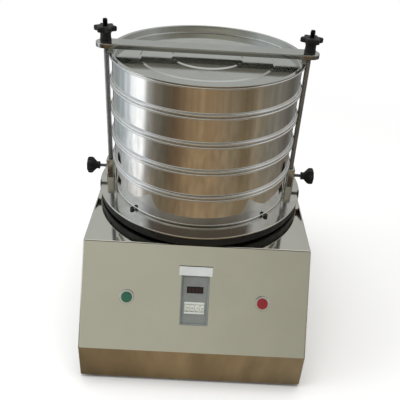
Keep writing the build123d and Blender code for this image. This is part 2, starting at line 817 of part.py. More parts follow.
# Rotor core on the shaft
with BuildPart() as rotor_core:
    with BuildSketch(Plane.XY.offset(stator_bottom)):
        with Locations((0, stack_y)):
            Circle(stator_bore - air_gap)
            Circle(shaft_radius + press_gap, mode=Mode.SUBTRACT)
    extrude(amount=stator_height)
rotor_core.part.label = "rotor_core"
export_step(rotor_core.part, "parts/rotor_core.step")

# Eccentric weights: half discs with a hub, both to the same side
for weight_name, level, height in (
    ("upper_weight", upper_weight_bottom, upper_weight_height),
    ("lower_weight", lower_weight_bottom, lower_weight_height),
):
    with BuildPart() as weight:
        with BuildSketch(Plane.XY.offset(level)):
            with Locations((0, stack_y)):
                Circle(weight_radius)
                half = (Align.CENTER, Align.MIN)
                Rectangle(2 * weight_radius, weight_radius, align=half, mode=Mode.SUBTRACT)
                Circle(weight_hub_radius)
                Circle(shaft_radius + press_gap, mode=Mode.SUBTRACT)
        extrude(amount=height)
    weight.part.label = weight_name
    export_step(weight.part, f"parts/{weight_name}.step")

# Receiver pan: spun sheet with a rounded foot and a rolled rim
with BuildPart() as receiver_pan:
    with BuildSketch(stack_plane):
        with BuildLine():
            Line((0, pan_bottom), (pan_foot_radius, pan_bottom))
            RadiusArc((pan_foot_radius, pan_bottom), (wall_radius, pan_bottom + pan_corner), -pan_corner)
            Polyline(
                (wall_radius, pan_bottom + pan_corner),
                (wall_radius, pan_top - bead_height),
                (bead_radius - bead_height / 2, pan_top - bead_height),
            )
            ThreePointArc(
                (bead_radius - bead_height / 2, pan_top - bead_height),
                (bead_radius, pan_top - bead_height / 2),
                (bead_radius - bead_height / 2, pan_top),
            )
            Polyline(
                (bead_radius - bead_height / 2, pan_top),
                (bore_radius, pan_top),
                (bore_radius, pan_bottom + pan_corner),
            )
            RadiusArc(
                (bore_radius, pan_bottom + pan_corner),
                (pan_foot_radius, pan_bottom + sieve_sheet),
                pan_corner - sieve_sheet,
            )
            Polyline((pan_foot_radius, pan_bottom + sieve_sheet), (0, pan_bottom + sieve_sheet), (0, pan_bottom))
        make_face()
    revolve(axis=stack_axis)
receiver_pan.part.label = "receiver_pan"
export_step(receiver_pan.part, "parts/receiver_pan.step")

# Sieves from the coarse one on top (1) to the fine one above the pan: frame with nesting skirt, shoulder bead,
# rolled rim and an inner ledge, and the mesh that lies on the ledge
skirt_outer = bore_radius - nest_gap
skirt_inner = skirt_outer - sieve_sheet
mesh_radius = bore_radius - mesh_gap
coarse_pitch = coarse_aperture + coarse_bar
coarse_reach = mesh_radius - coarse_margin
coarse_half = int(coarse_reach // coarse_pitch)
coarse_steps = range(-coarse_half, coarse_half + 1)
coarse_places = [
    (column * coarse_pitch, row * coarse_pitch)
    for column in coarse_steps
    for row in coarse_steps
    if math.hypot(abs(column) * coarse_pitch + coarse_aperture / 2, abs(row) * coarse_pitch + coarse_aperture / 2)
    < coarse_reach
]
for number in range(1, sieve_count + 1):
    seat = pan_top + seat_gap + (sieve_count - number) * sieve_pitch
    rim = seat + sieve_height
    ledge = seat + mesh_rise
    with BuildPart() as sieve_frame:
        with BuildSketch(stack_plane):
            with BuildLine():
                Polyline(
                    (bore_radius, ledge),
                    (skirt_inner, ledge),
                    (skirt_inner, seat - nest_depth),
                    (skirt_outer, seat - nest_depth),
                    (skirt_outer, seat),
                    (bead_radius - bead_height / 2, seat),
                )
                ThreePointArc(
                    (bead_radius - bead_height / 2, seat),
                    (bead_radius, seat + bead_height / 2),
                    (bead_radius - bead_height / 2, seat + bead_height),
                )
                Polyline(
                    (bead_radius - bead_height / 2, seat + bead_height),
                    (wall_radius, seat + bead_height),
                    (wall_radius, rim - bead_height),
                    (bead_radius - bead_height / 2, rim - bead_height),
                )
                ThreePointArc(
                    (bead_radius - bead_height / 2, rim - bead_height),
                    (bead_radius, rim - bead_height / 2),
                    (bead_radius - bead_height / 2, rim),
                )
                Polyline((bead_radius - bead_height / 2, rim), (bore_radius, rim), (bore_radius, ledge))
            make_face()
        revolve(axis=stack_axis)
    sieve_frame.part.label = f"sieve_{number}_frame"
    export_step(sieve_frame.part, f"parts/sieve_{number}_frame.step")

    with BuildPart() as sieve_mesh:
        with BuildSketch(Plane.XY.offset(ledge)):
            with Locations((0, stack_y)):
                Circle(mesh_radius)
                if number == 1:
                    with Locations(*coarse_places):
                        Rectangle(coarse_aperture, coarse_aperture, mode=Mode.SUBTRACT)
        extrude(amount=coarse_sheet if number == 1 else mesh_sheet)
    sieve_mesh.part.label = f"sieve_{number}_mesh"
    export_step(sieve_mesh.part, f"parts/sieve_{number}_mesh.step")

# Lid: a dish that drops into the top sieve, its floor raised in two steps towards the middle
lid_floor = lid_top - lid_recess
with BuildPart() as lid:
    with BuildSketch(stack_plane):
        with BuildLine():
            Polyline(
                (0, lid_floor + 2 * lid_step),
                (lid_inner_ring, lid_floor + 2 * lid_step),
                (lid_inner_ring + lid_slope, lid_floor + lid_step),
                (lid_outer_ring, lid_floor + lid_step),
                (lid_outer_ring + lid_slope, lid_floor),
                (skirt_inner - lid_corner, lid_floor),
            )
            RadiusArc((skirt_inner - lid_corner, lid_floor), (skirt_inner, lid_floor + lid_corner), -lid_corner)
            Polyline(
                (skirt_inner, lid_floor + lid_corner),
                (skirt_inner, lid_top),
                (bead_radius, lid_top),
                (bead_radius, lid_bottom),
                (skirt_outer, lid_bottom),
                (skirt_outer, lid_floor + lid_corner),
            )
            RadiusArc(
                (skirt_outer, lid_floor + lid_corner),
                (skirt_inner - lid_corner, lid_floor - sieve_sheet),
                lid_corner + sieve_sheet,
            )
            Polyline(
                (skirt_inner - lid_corner, lid_floor - sieve_sheet),
                (lid_outer_ring + lid_slope, lid_floor - sieve_sheet),
                (lid_outer_ring, lid_floor + lid_step - sieve_sheet),
                (lid_inner_ring + lid_slope, lid_floor + lid_step - sieve_sheet),
                (lid_inner_ring, lid_floor + 2 * lid_step - sieve_sheet),
                (0, lid_floor + 2 * lid_step - sieve_sheet),
                (0, lid_floor + 2 * lid_step),
            )
        make_face()
    revolve(axis=stack_axis)
lid.part.label = "lid"
export_step(lid.part, "parts/lid.step")

# Clamp posts on the tray, clamp rods standing in them, and the side knobs that lock the rods
lock_flare = math.degrees(math.atan((lock_head_radius - lock_hub_radius) / lock_flare_length))
for side, sign in sides.items():
    rod_place = (sign * rod_reach, stack_y)
    outward = Plane(origin=(sign * rod_reach, stack_y, lock_z), x_dir=(0, 1, 0), z_dir=(sign, 0, 0))
    lock_axis = Axis(outward.origin, outward.z_dir)
    with BuildPart() as post:
        with BuildSketch(Plane.XY.offset(tray_top)):
            with Locations(rod_place):
                RectangleRounded(post_radial, post_width, post_corner)
        extrude(amount=post_height)
        chamfer(faces().sort_by(Axis.Z)[-1].edges(), post_chamfer)
        with BuildSketch(Plane.XY.offset(tray_top)):
            with Locations(rod_place):
                Circle(post_stud_radius)
        extrude(amount=-(tray_sheet + plate_depth))
        with BuildSketch(Plane.XY.offset(tray_top + post_floor)):
            with Locations(rod_place):
                Circle(rod_radius + rod_gap)
        extrude(amount=post_height, mode=Mode.SUBTRACT)
        with BuildSketch(outward):
            Circle(lock_screw_radius + running_gap)
        extrude(amount=post_radial, mode=Mode.SUBTRACT)
    post.part.label = f"clamp_post_{side}"
    export_step(post.part, f"parts/clamp_post_{side}.step")

    with BuildPart() as rod:
        with BuildSketch(Plane.XY.offset(tray_top + post_floor)):
            with Locations(rod_place):
                Circle(rod_radius)
        extrude(amount=rod_top - tray_top - post_floor)
        chamfer(faces().sort_by(Axis.Z)[-1].edges(), rod_chamfer)
    rod.part.label = f"clamp_rod_{side}"
    export_step(rod.part, f"parts/clamp_rod_{side}.step")

    with BuildPart() as lock_knob:
        with BuildSketch(outward.offset(lock_knob_start)):
            Circle(lock_hub_radius)
        extrude(amount=lock_hub_length)
        with BuildSketch(outward.offset(lock_knob_start + lock_hub_length)):
            Circle(lock_hub_radius)
        extrude(amount=lock_flare_length, taper=-lock_flare)
        with BuildSketch(outward.offset(lock_knob_start + lock_hub_length + lock_flare_length)):
            Circle(lock_head_radius)
        extrude(amount=lock_head_length)
        fillet(faces().sort_by(lock_axis)[-1].edges(), lock_edge)
        with BuildSketch(outward.offset(lock_knob_start + lock_hub_length)):
            with PolarLocations(lock_head_radius + lock_flute_radius / 2, lock_flutes):
                Circle(lock_flute_radius)
        extrude(amount=lock_flare_length + lock_head_length, mode=Mode.SUBTRACT)
        with BuildSketch(outward.offset(lock_knob_start)):
            Circle(lock_screw_radius + press_gap)
        extrude(amount=lock_screw_grip, mode=Mode.SUBTRACT)
    lock_knob.part.label = f"side_knob_{side}"
    export_step(lock_knob.part, f"parts/side_knob_{side}.step")

    lock_tip = rod_radius + rod_gap + fit_gap
    with BuildPart() as lock_screw:
        with BuildSketch(outward.offset(lock_tip)):
            Circle(lock_screw_radius)
        extrude(amount=lock_knob_start + lock_screw_grip - lock_tip)
    lock_screw.part.label = f"side_screw_{side}"
    export_step(lock_screw.part, f"parts/side_screw_{side}.step")

    with BuildPart() as top_knob:
        with BuildSketch(Plane.XY.offset(knob_bottom)):
            with Locations(rod_place):
                Circle(knob_hub_radius)
        extrude(amount=knob_hub_height)
        with BuildSketch(Plane.XY.offset(knob_bottom + knob_hub_height)):
            with Locations(rod_place):
                Circle(knob_head_radius - knob_lobe_radius)
                with PolarLocations(knob_head_radius - knob_lobe_radius, knob_lobes):
                    Circle(knob_lobe_radius)
        extrude(amount=knob_head_height)
        chamfer(faces().sort_by(Axis.Z)[-1].edges(), knob_edge)
        with BuildSketch(Plane.XY.offset(knob_bottom)):
            with Locations(rod_place):
                Circle(rod_radius + rod_gap)
        extrude(amount=knob_hub_height + knob_head_height, mode=Mode.SUBTRACT)
    top_knob.part.label = f"top_knob_{side}"
    export_step(top_knob.part, f"parts/top_knob_{side}.step")

# Clamp bar: pressed channel with round ends across the lid, open below
with BuildPart() as clamp_bar:
    with BuildSketch(Plane.XY.offset(bar_bottom)):
        with Locations((0, stack_y)):
            SlotOverall(2 * rod_reach + bar_width, bar_width)
    extrude(amount=bar_height)
    fillet(faces().sort_by(Axis.Z)[-1].edges(), bar_fold)
    offset(amount=-bar_sheet, openings=faces().sort_by(Axis.Z)[0])
    with BuildSketch(Plane.XY.offset(bar_top)):
        with Locations((0, stack_y)):
            with GridLocations(2 * rod_reach, 1, 2, 1):
                Circle(rod_radius + bar_hole_gap)
    extrude(amount=-bar_height, mode=Mode.SUBTRACT)
clamp_bar.part.label = "clamp_bar"
export_step(clamp_bar.part, "parts/clamp_bar.step")

# Washers between the bar and the knobs
with BuildPart() as bar_washers:
    with BuildSketch(Plane.XY.offset(bar_top)):
        with Locations((0, stack_y)):
            with GridLocations(2 * rod_reach, 1, 2, 1):
                Circle(washer_radius)
                Circle(rod_radius + bar_hole_gap, mode=Mode.SUBTRACT)
    extrude(amount=washer_thickness)
bar_washers.part.label = "bar_washers"
export_step(bar_washers.part, "parts/bar_washers.step")
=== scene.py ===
import json
import logging
import math
from dataclasses import dataclass
from enum import Enum
from typing import Callable, Iterable, Optional, Sequence

import bpy
from mathutils import Matrix, Vector


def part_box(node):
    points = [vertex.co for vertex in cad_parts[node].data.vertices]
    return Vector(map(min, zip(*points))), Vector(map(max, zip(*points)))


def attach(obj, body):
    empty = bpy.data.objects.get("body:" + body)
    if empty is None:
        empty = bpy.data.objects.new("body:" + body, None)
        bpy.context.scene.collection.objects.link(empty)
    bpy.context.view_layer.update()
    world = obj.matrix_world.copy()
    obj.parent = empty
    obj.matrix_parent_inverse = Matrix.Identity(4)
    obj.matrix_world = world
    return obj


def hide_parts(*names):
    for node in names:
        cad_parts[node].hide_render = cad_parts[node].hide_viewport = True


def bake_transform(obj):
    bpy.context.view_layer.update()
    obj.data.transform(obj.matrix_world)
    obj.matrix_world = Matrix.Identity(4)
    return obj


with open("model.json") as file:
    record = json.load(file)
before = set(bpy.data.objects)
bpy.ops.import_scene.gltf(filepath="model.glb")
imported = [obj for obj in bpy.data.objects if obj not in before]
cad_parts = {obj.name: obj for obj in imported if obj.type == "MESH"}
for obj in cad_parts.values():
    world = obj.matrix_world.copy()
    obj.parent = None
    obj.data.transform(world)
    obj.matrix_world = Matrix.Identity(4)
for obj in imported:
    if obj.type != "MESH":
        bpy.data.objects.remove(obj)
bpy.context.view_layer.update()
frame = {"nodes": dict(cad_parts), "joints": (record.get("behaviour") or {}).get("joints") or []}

log = logging.getLogger("vibrating_sieve")

MM = 0.001
FULL_TURN = 2 * math.pi
MERGE_GAP = 1e-6
SEED_SIZE = 0.001
SMOOTH_ANGLE = math.radians(34)
LID_SMOOTH = THREAD_SMOOTH = math.radians(20)

Colour = tuple[float, float, float]
Outline = list[tuple[float, float]]
Piece = bpy.types.Object
Socket = bpy.types.NodeSocket
Material = bpy.types.Material

# A thread's ridge, its root, flanks and crest as shares of the pitch
THREAD_RIDGE = ((-0.1, 0.0), (0.55, 0.42), (0.55, 0.56), (-0.1, 0.98), (-0.1, 0.0))
THREAD_DEPTH = 0.55


def shade(red: int, green: int, blue: int) -> Colour:
    """Turns a colour as seen on a screen, 0 to 255, into the linear values of a shader.

    Args:
        red: Red, 0 to 255.
        green: Green, 0 to 255.
        blue: Blue, 0 to 255.

    Returns:
        Linear red, green and blue.
    """
    parts = (value / 255 for value in (red, green, blue))
    linear = [part / 12.92 if part <= 0.04045 else ((part + 0.055) / 1.055) ** 2.4 for part in parts]
    return linear[0], linear[1], linear[2]


class Grain(Enum):
    """How the polishing lines of a metal surface run."""

    TURNED = "rings"
    ALONG_X = "x"
    ALONG_Z = "z"
    CLOUDY = "none"


class Bench:
    """Adds and joins the nodes of one material or world."""

    def __init__(self, owner: Material | bpy.types.World) -> None:
        """Opens the node tree of a material or a world.

        Args:
            owner: What the nodes belong to.
        """
        owner.use_nodes = True
        self.material = owner
        self.tree = owner.node_tree
        self.shader = self.tree.nodes.get("Principled BSDF")

    def add(self, kind: str, **settings: object) -> bpy.types.Node:
        """Adds one node.

        Args:
            kind: Blender's name of the node type.
            settings: Properties to set on it.

        Returns:
            The node.
        """
        node = self.tree.nodes.new(kind)
        for key, value in settings.items():
            setattr(node, key, value)
        return node

    def join(self, source: Socket, target: Socket) -> None:
        """Links two sockets."""
        self.tree.links.new(source, target)

    def feed(self, source: Socket, name: str) -> None:
        """Links a socket to an input of the shader."""
        self.join(source, self.shader.inputs[name])

    def set(self, name: str, value: float) -> None:
        """Gives an input of the shader a constant."""
        self.shader.inputs[name].default_value = value

    def part(self, vector: Socket, axis: str) -> Socket:
        """One coordinate of a vector."""
        parts = self.add("ShaderNodeSeparateXYZ")
        self.join(vector, parts.inputs["Vector"])
        return parts.outputs[axis]

    def length(self, vector: Socket) -> Socket:
        """Length of a vector."""
        reach = self.add("ShaderNodeVectorMath", operation="LENGTH")
        self.join(vector, reach.inputs[0])
        return reach.outputs["Value"]

    def place(self, centre: Sequence[float] = (0, 0, 0), scale: Sequence[float] = (1, 1, 1)) -> Socket:
        """Reads the surface's own place, centred and stretched for a pattern.

        Args:
            centre: The point that becomes the pattern's middle.
            scale: Stretch along X, Y and Z.

        Returns:
            A vector socket.
        """
        source = self.add("ShaderNodeTexCoord")
        mapping = self.add("ShaderNodeMapping", vector_type="POINT")
        mapping.inputs["Scale"].default_value = scale
        mapping.inputs["Location"].default_value = [-c * s for c, s in zip(centre, scale)]
        self.join(source.outputs["Object"], mapping.inputs["Vector"])
        return mapping.outputs["Vector"]

    def noise(self, vector: Socket, scale: float, detail: float = 3.0, twist: float = 0.0) -> Socket:
        """Adds a noise pattern.

        Args:
            vector: Where the pattern is read.
            scale: Cells in a metre.
            detail: Octaves.
            twist: Distortion.

        Returns:
            The pattern's value, 0 to 1.
        """
        node = self.add("ShaderNodeTexNoise")
        node.inputs["Scale"].default_value = scale
        node.inputs["Detail"].default_value = detail
        node.inputs["Distortion"].default_value = twist
        self.join(vector, node.inputs["Vector"])
        return node.outputs["Fac"]

    def spread(
        self, value: Socket, low: float, high: float, start: float = 0.3, end: float = 0.7
    ) -> Socket:
        """Maps a value from one range to another.

        Args:
            value: The value to map.
            low: Result at start.
            high: Result at end.
            start: Lower end of the value.
            end: Upper end of the value.

        Returns:
            The mapped value.
        """
        node = self.add("ShaderNodeMapRange")
        for key, number in (("From Min", start), ("From Max", end), ("To Min", low), ("To Max", high)):
            node.inputs[key].default_value = number
        self.join(value, node.inputs["Value"])
        return node.outputs["Result"]

    def blend(self, value: Socket, first: Colour, second: Colour) -> Socket:
        """Mixes two colours by a value.

        Args:
            value: 0 gives the first colour, 1 the second.
            first: Linear colour.
            second: Linear colour.

        Returns:
            The mixed colour.
        """
        node = self.add("ShaderNodeMix", data_type="RGBA")
        node.inputs["A"].default_value = (*first, 1)
        node.inputs["B"].default_value = (*second, 1)
        self.join(value, node.inputs["Factor"])
        return node.outputs["Result"]

    def over(self, under: Socket, colour: Colour, share: Socket) -> Socket:
        """Lays a colour over another.

        Args:
            under: The colour below.
            colour: The linear colour laid over it.
            share: How much of it covers.

        Returns:
            The mixed colour.
        """
        mixed = self.add("ShaderNodeMix", data_type="RGBA")
        mixed.inputs["B"].default_value = (*colour, 1)
        self.join(share, mixed.inputs["Factor"])
        self.join(under, mixed.inputs["A"])
        return mixed.outputs["Result"]

    def raise_by(
        self, height: Socket, strength: float, depth: float, under: Optional[Socket] = None
    ) -> Socket:
        """Turns a height pattern into a bump.

        Args:
            height: The pattern.
            strength: How much of it shows.
            depth: Its depth in metres.
            under: A bump that it lies on.

        Returns:
            A normal socket.
        """
        node = self.add("ShaderNodeBump")
        node.inputs["Strength"].default_value = strength
        node.inputs["Distance"].default_value = depth
        self.join(height, node.inputs["Height"])
        if under is not None:
            self.join(under, node.inputs["Normal"])
        return node.outputs["Normal"]

    def sum(self, first: Socket, second: Socket, kind: str = "ADD") -> Socket:
        """Adds, multiplies or compares two values.

        Args:
            first: A value.
            second: A value.
            kind: The operation's name.

        Returns:
            The result.
        """
        node = self.add("ShaderNodeMath", operation=kind)
        self.join(first, node.inputs[0])
        self.join(second, node.inputs[1])
        return node.outputs["Value"]


@dataclass(frozen=True)
class Steel:
    """Bare steel: polishing lines, wiping marks, a slight wave in the sheet, and a dark colour laid above
    or below a height, which on the clamp bar's folded sides is painted shade.
    """

    name: str
    tone: Colour
    dull: Colour
    roughness: float = 0.08
    rubbed: float = 0.05
    grain: Grain = Grain.CLOUDY
    centre: tuple[float, float, float] = (0.0, 0.0, 0.0)
    line_depth: float = 0.00001
    line_scale: float = 900.0
    wave_depth: float = 0.0002
    wave_scale: float = 9.0
    lines: float = 0.12
    cloud_scale: float = 14.0
    dark_above: Optional[float] = None
    # Below this height the dark colour is laid on; on the clamp bar it is painted shade.
    dark_below: Optional[float] = None
    dark: Colour = (0.02, 0.02, 0.02)
    stretch: float = 0.03

    def material(self) -> Material:
        """Builds the nodes.

        Returns:
            The material.
        """
        bench = Bench(bpy.data.materials.new(self.name))
        stretches = {Grain.ALONG_X: (self.stretch, 1, 1), Grain.ALONG_Z: (1, 1, self.stretch)}
        place = bench.place(self.centre, stretches.get(self.grain, (1, 1, 1)))
        if self.grain is Grain.TURNED:
            rings = bench.add(
                "ShaderNodeTexWave", wave_type="RINGS", rings_direction="Z", wave_profile="SIN"
            )
            rings.inputs["Scale"].default_value = self.line_scale / FULL_TURN
            rings.inputs["Distortion"].default_value = 1.2
            rings.inputs["Detail"].default_value = 3.0
            bench.join(place, rings.inputs["Vector"])
            lines = rings.outputs["Fac"]
        else:
            lines = bench.noise(place, self.line_scale, 4.0)
        cloud = bench.noise(bench.place(self.centre), self.cloud_scale, 3.0, 0.3)
        smear = bench.noise(bench.place(self.centre), 4 * self.cloud_scale, 4.0, 0.5)
        mixed = bench.sum(cloud, smear, "MULTIPLY")
        colour = bench.blend(bench.spread(mixed, 0.0, 1.0, 0.15, 0.38), self.tone, self.dull)
        # Lays the dark colour above or below a height; on the clamp bar's folded sides it is painted shade.
        for level, fade in ((self.dark_above, -MM), (self.dark_below, MM)):
            if level is not None:
                share = bench.spread(bench.part(bench.place(), "Z"), 0.0, 1.0, level + fade, level)
                colour = bench.over(colour, self.dark, share)
        bench.feed(colour, "Base Color")
        bench.feed(
            bench.spread(mixed, self.roughness, self.roughness + self.rubbed, 0.18, 0.36), "Roughness"
        )
        wave = bench.noise(bench.place(self.centre), self.wave_scale, 1.0)
        swell = bench.raise_by(wave, 1.0, self.wave_depth)
        bench.feed(bench.raise_by(lines, self.lines, self.line_depth, swell), "Normal")
        bench.set("Metallic", 1.0)
        return bench.material


@dataclass(frozen=True)
class Moulding:
    """Moulded or painted surface: fine grain, a little dust and rubbed places."""

    name: str
    tone: Colour
    worn: Colour
    roughness: float = 0.35
    rubbed: float = 0.15
    grain_scale: float = 1400.0
    grain_depth: float = 0.00004
    grain_show: float = 0.25
    coat: float = 0.0
    specular: float = 0.5
    cloud_scale: float = 38.0

    def material(self) -> Material:
        """Builds the nodes.

        Returns:
            The material.
        """
        bench = Bench(bpy.data.materials.new(self.name))
        place = bench.place()
        grain = bench.noise(place, self.grain_scale, 3.0)
        cloud = bench.noise(place, self.cloud_scale, 5.0, 0.6)
        bench.feed(
            bench.blend(bench.spread(cloud, 0.0, 1.0, 0.42, 0.78), self.tone, self.worn), "Base Color"
        )
        bench.feed(bench.spread(cloud, self.roughness, self.roughness + self.rubbed), "Roughness")
        bench.feed(bench.raise_by(grain, self.grain_show, self.grain_depth), "Normal")
        bench.set("Coat Weight", self.coat)
        bench.set("Specular IOR Level", self.specular)
        return bench.material


@dataclass(frozen=True)
class WovenWire:
    """Fine wire cloth: warp and weft wires pass over and under each other, with painted shade in the
    openings between them.
    """

    name: str
    wire: Colour
    # The gap colour is painted shade in the openings between the wires.
    gap: Colour
    pitch: float
    centre: tuple[float, float, float]
    bands_in_metre: float = 20.0

    def material(self) -> Material:
        """Builds the nodes.

        Returns:
            The material.
        """
        bench = Bench(bpy.data.materials.new(self.name))
        place = bench.place(self.centre)
        heights = []
        for direction in ("X", "Y"):
            bands = bench.add(
                "ShaderNodeTexWave", wave_type="BANDS", bands_direction=direction, wave_profile="SIN"
            )
            bands.inputs["Scale"].default_value = FULL_TURN / self.pitch / self.bands_in_metre
            bench.join(place, bands.inputs["Vector"])
            heights.append(bands.outputs["Fac"])
        top = bench.sum(heights[0], heights[1], "MAXIMUM")
        shown = bench.spread(top, 0.0, 1.0, 0.35, 0.75)
        bench.feed(bench.blend(shown, self.gap, self.wire), "Base Color")
        bench.feed(bench.raise_by(top, 0.8, self.pitch / 3), "Normal")
        bench.feed(bench.spread(top, 0.55, 0.3), "Roughness")
        bench.set("Metallic", 1.0)
        return bench.material


def idle() -> None:
    """Leaves edit mode and deselects everything."""
    if bpy.context.object is not None and bpy.context.object.mode != "OBJECT":
        bpy.ops.object.mode_set(mode="OBJECT")
    bpy.ops.object.select_all(action="DESELECT")


def start(name: str) -> Piece:
    """Names the new active piece and enters edit mode with all of it selected.

    Args:
        name: The piece's name.

    Returns:
        The piece.
    """
    piece = bpy.context.active_object
    piece.name = name
    piece.data.name = name
    bpy.ops.object.mode_set(mode="EDIT")
    bpy.ops.mesh.select_mode(type="VERT")
    bpy.ops.mesh.select_all(action="SELECT")
    return piece


def close_up(smooth: float = SMOOTH_ANGLE) -> None:
    """Merges doubles, turns the faces outwards and shades the piece being edited, flat faces staying flat.

    Args:
        smooth: Edges flatter than this are smooth.
    """
    bpy.ops.mesh.select_all(action="SELECT")
    bpy.ops.mesh.remove_doubles(threshold=MERGE_GAP)
    bpy.ops.mesh.normals_make_consistent(inside=False)
    bpy.ops.object.mode_set(mode="OBJECT")
    bpy.ops.object.shade_smooth_by_angle(angle=smooth)
    even = bpy.context.active_object.modifiers.new("even_shading", "WEIGHTED_NORMAL")
    even.keep_sharp = True
    bpy.ops.object.modifier_apply(modifier=even.name)


def settle(piece: Piece, place: Matrix) -> Piece:
    """Puts a piece at its place and keeps the place in its mesh.

    Args:
        piece: The piece.
        place: Where its own axes go.

    Returns:
        The piece.
    """
    idle()
    piece.select_set(True)
    bpy.context.view_layer.objects.active = piece
    piece.matrix_world = place
    bpy.ops.object.transform_apply(location=True, rotation=True, scale=True)
    return piece


def draw(name: str, points: Sequence[Sequence[float]]) -> Piece:
    """Draws a line by extruding a single point; it stays in edit mode, all of it selected.

    Args:
        name: The piece's name.
        points: X, Y and Z of each point; a closed line ends on its first point.

    Returns:
        The piece.
    """
    idle()
    bpy.ops.mesh.primitive_plane_add(size=SEED_SIZE)
    piece = start(name)
    bpy.ops.mesh.merge(type="CENTER")
    bpy.ops.transform.translate(value=points[0])
    for here, there in zip(points, points[1:]):
        step = tuple(end - begin for begin, end in zip(here, there))
        bpy.ops.mesh.extrude_vertices_move(TRANSFORM_OT_translate={"value": step})
    bpy.ops.mesh.select_all(action="SELECT")
    bpy.ops.mesh.remove_doubles(threshold=MERGE_GAP)
    return piece


def lathe(
    name: str,
    outline: Outline,
    place: Matrix,
    steps: int = 160,
    loop: bool = True,
    smooth: float = SMOOTH_ANGLE,
) -> Piece:
    """Draws an outline and spins it round its own Z axis.

    Args:
        name: The piece's name.
        outline: Radius and height of each point.
        place: Where the axis goes.
        steps: Facets in a turn.
        loop: Whether the outline closes on itself; one that ends on the axis doesn't.
        smooth: Edges flatter than this are smooth.

    Returns:
        The piece.
    """
    points = [*outline, outline[0]] if loop else outline
    piece = draw(name, [(radius, 0, height) for radius, height in points])
    bpy.ops.mesh.spin(steps=steps, angle=FULL_TURN, center=(0, 0, 0), axis=(0, 0, 1))
    close_up(smooth)
    return settle(piece, place)


def blank(name: str, points: Outline, bottom: float, thickness: float) -> Piece:
    """Draws a closed outline, fills it and raises it; it stays in edit mode, its top selected.

    Args:
        name: The piece's name.
        points: X and Y of each corner, in order.
        bottom: Height of the outline.
        thickness: How far it is raised.

    Returns:
        The piece.
    """
    piece = draw(name, [(x, y, bottom) for x, y in [*points, points[0]]])
    bpy.ops.mesh.edge_face_add()
    bpy.ops.mesh.extrude_region_move(TRANSFORM_OT_translate={"value": (0, 0, thickness)})
    return piece


def oblong(
    width: float, depth: float, corner: float, centre: tuple[float, float] = (0, 0), count: int = 4
) -> Outline:
    """Points of a rectangle with round corners.

    Args:
        width: Along X.
        depth: Along Y.
        corner: Corner radius.
        centre: Its middle.
        count: Steps in a corner.

    Returns:
        The points, counter-clockwise.
    """
    reach_x, reach_y = width / 2 - corner, depth / 2 - corner
    corners = ((1, -1, -90), (1, 1, 0), (-1, 1, 90), (-1, -1, 180))
    points = []
    for side_x, side_y, first in corners:
        middle = (centre[0] + side_x * reach_x, centre[1] + side_y * reach_y)
        points += arc(middle, corner, first, first + 90, count)
    return points


def choose_edges(piece: Piece, wanted: Callable[[Vector, Vector], bool]) -> None:
    """Selects the edges of the piece being edited whose two ends pass a test.

    Args:
        piece: The piece.
        wanted: Says of an edge's two ends whether it is selected.
    """
    bpy.ops.mesh.select_all(action="DESELECT")
    bpy.ops.mesh.select_mode(type="EDGE")
    bpy.ops.object.mode_set(mode="OBJECT")
    points = piece.data.vertices
    for edge in piece.data.edges:
        first, second = (points[index].co for index in edge.vertices)
        edge.select = wanted(first, second)
    bpy.ops.object.mode_set(mode="EDIT")


def choose_faces(piece: Piece, wanted: Callable[[Vector, Vector], bool]) -> None:
    """Selects the faces of the piece being edited whose middle and normal pass a test.

    Args:
        piece: The piece.
        wanted: Says of a face's middle and normal whether it is selected.
    """
    bpy.ops.mesh.select_all(action="DESELECT")
    bpy.ops.mesh.select_mode(type="FACE")
    bpy.ops.object.mode_set(mode="OBJECT")
    for face in piece.data.polygons:
        face.select = wanted(face.center, face.normal)
    bpy.ops.object.mode_set(mode="EDIT")


def ease(piece: Piece, level: float, width: float, segments: int = 5, clamp: bool = False) -> None:
    """Rounds the edges that lie at one level of the piece being edited.

    Args:
        piece: The piece.
        level: The edges' height.
        width: How far from the edge the rounding starts.
        segments: Steps of the rounding.
        clamp: Whether it stops where two roundings meet.
    """
    choose_edges(piece, lambda first, second: max(abs(first.z - level), abs(second.z - level)) < MERGE_GAP)
    bpy.ops.mesh.bevel(
        offset=width, offset_type="OFFSET", segments=segments, affect="EDGES", clamp_overlap=clamp
    )


def combine(piece: Piece, other: Piece, operation: str) -> None:
    """Joins one closed piece with another by a boolean and removes the other.

    Args:
        piece: The piece that stays.
        other: The piece that it is joined with.
        operation: UNION or DIFFERENCE.
    """
    idle()
    piece.select_set(True)
    bpy.context.view_layer.objects.active = piece
    change = piece.modifiers.new("combined", "BOOLEAN")
    change.operation = operation
    change.solver = "EXACT"
    change.object = other
    bpy.ops.object.modifier_apply(modifier=change.name)
    bpy.data.objects.remove(other)
    bpy.ops.object.mode_set(mode="EDIT")
    close_up()


def cut(piece: Piece, cutter: Piece) -> None:
    """Takes a cutter out of a piece."""
    combine(piece, cutter, "DIFFERENCE")


def unite(piece: Piece, other: Piece) -> None:
    """Melts another piece into a piece."""
    combine(piece, other, "UNION")


def join(name: str, pieces: Sequence[Piece]) -> Piece:
    """Joins pieces of one body into one.

    Args:
        name: The joined piece's name.
        pieces: The pieces.

    Returns:
        The joined piece.
    """
    idle()
    for piece in pieces:
        piece.select_set(True)
    bpy.context.view_layer.objects.active = pieces[0]
    bpy.ops.object.join()
    joined = bpy.context.active_object
    joined.name = name
    joined.data.name = name
    return joined


def copy_of(source: Piece, name: str) -> Piece:
    """Copies an object with a mesh of its own.

    Args:
        source: The object.
        name: The copy's name.

    Returns:
        The copy, at the origin.
    """
    again = bpy.data.objects.new(name, source.data.copy())
    bpy.context.scene.collection.objects.link(again)
    return again


def fair_copy(name: str, new_name: str) -> Piece:
    """Copies a CAD node, merges its triangles and shades it, so that round parts reflect smoothly.

    Args:
        name: The CAD node.
        new_name: The copy's name.

    Returns:
        The copy.
    """
    idle()
    piece = copy_of(node(name), new_name)
    bpy.context.view_layer.objects.active = piece
    piece.select_set(True)
    start(new_name)
    close_up()
    return piece


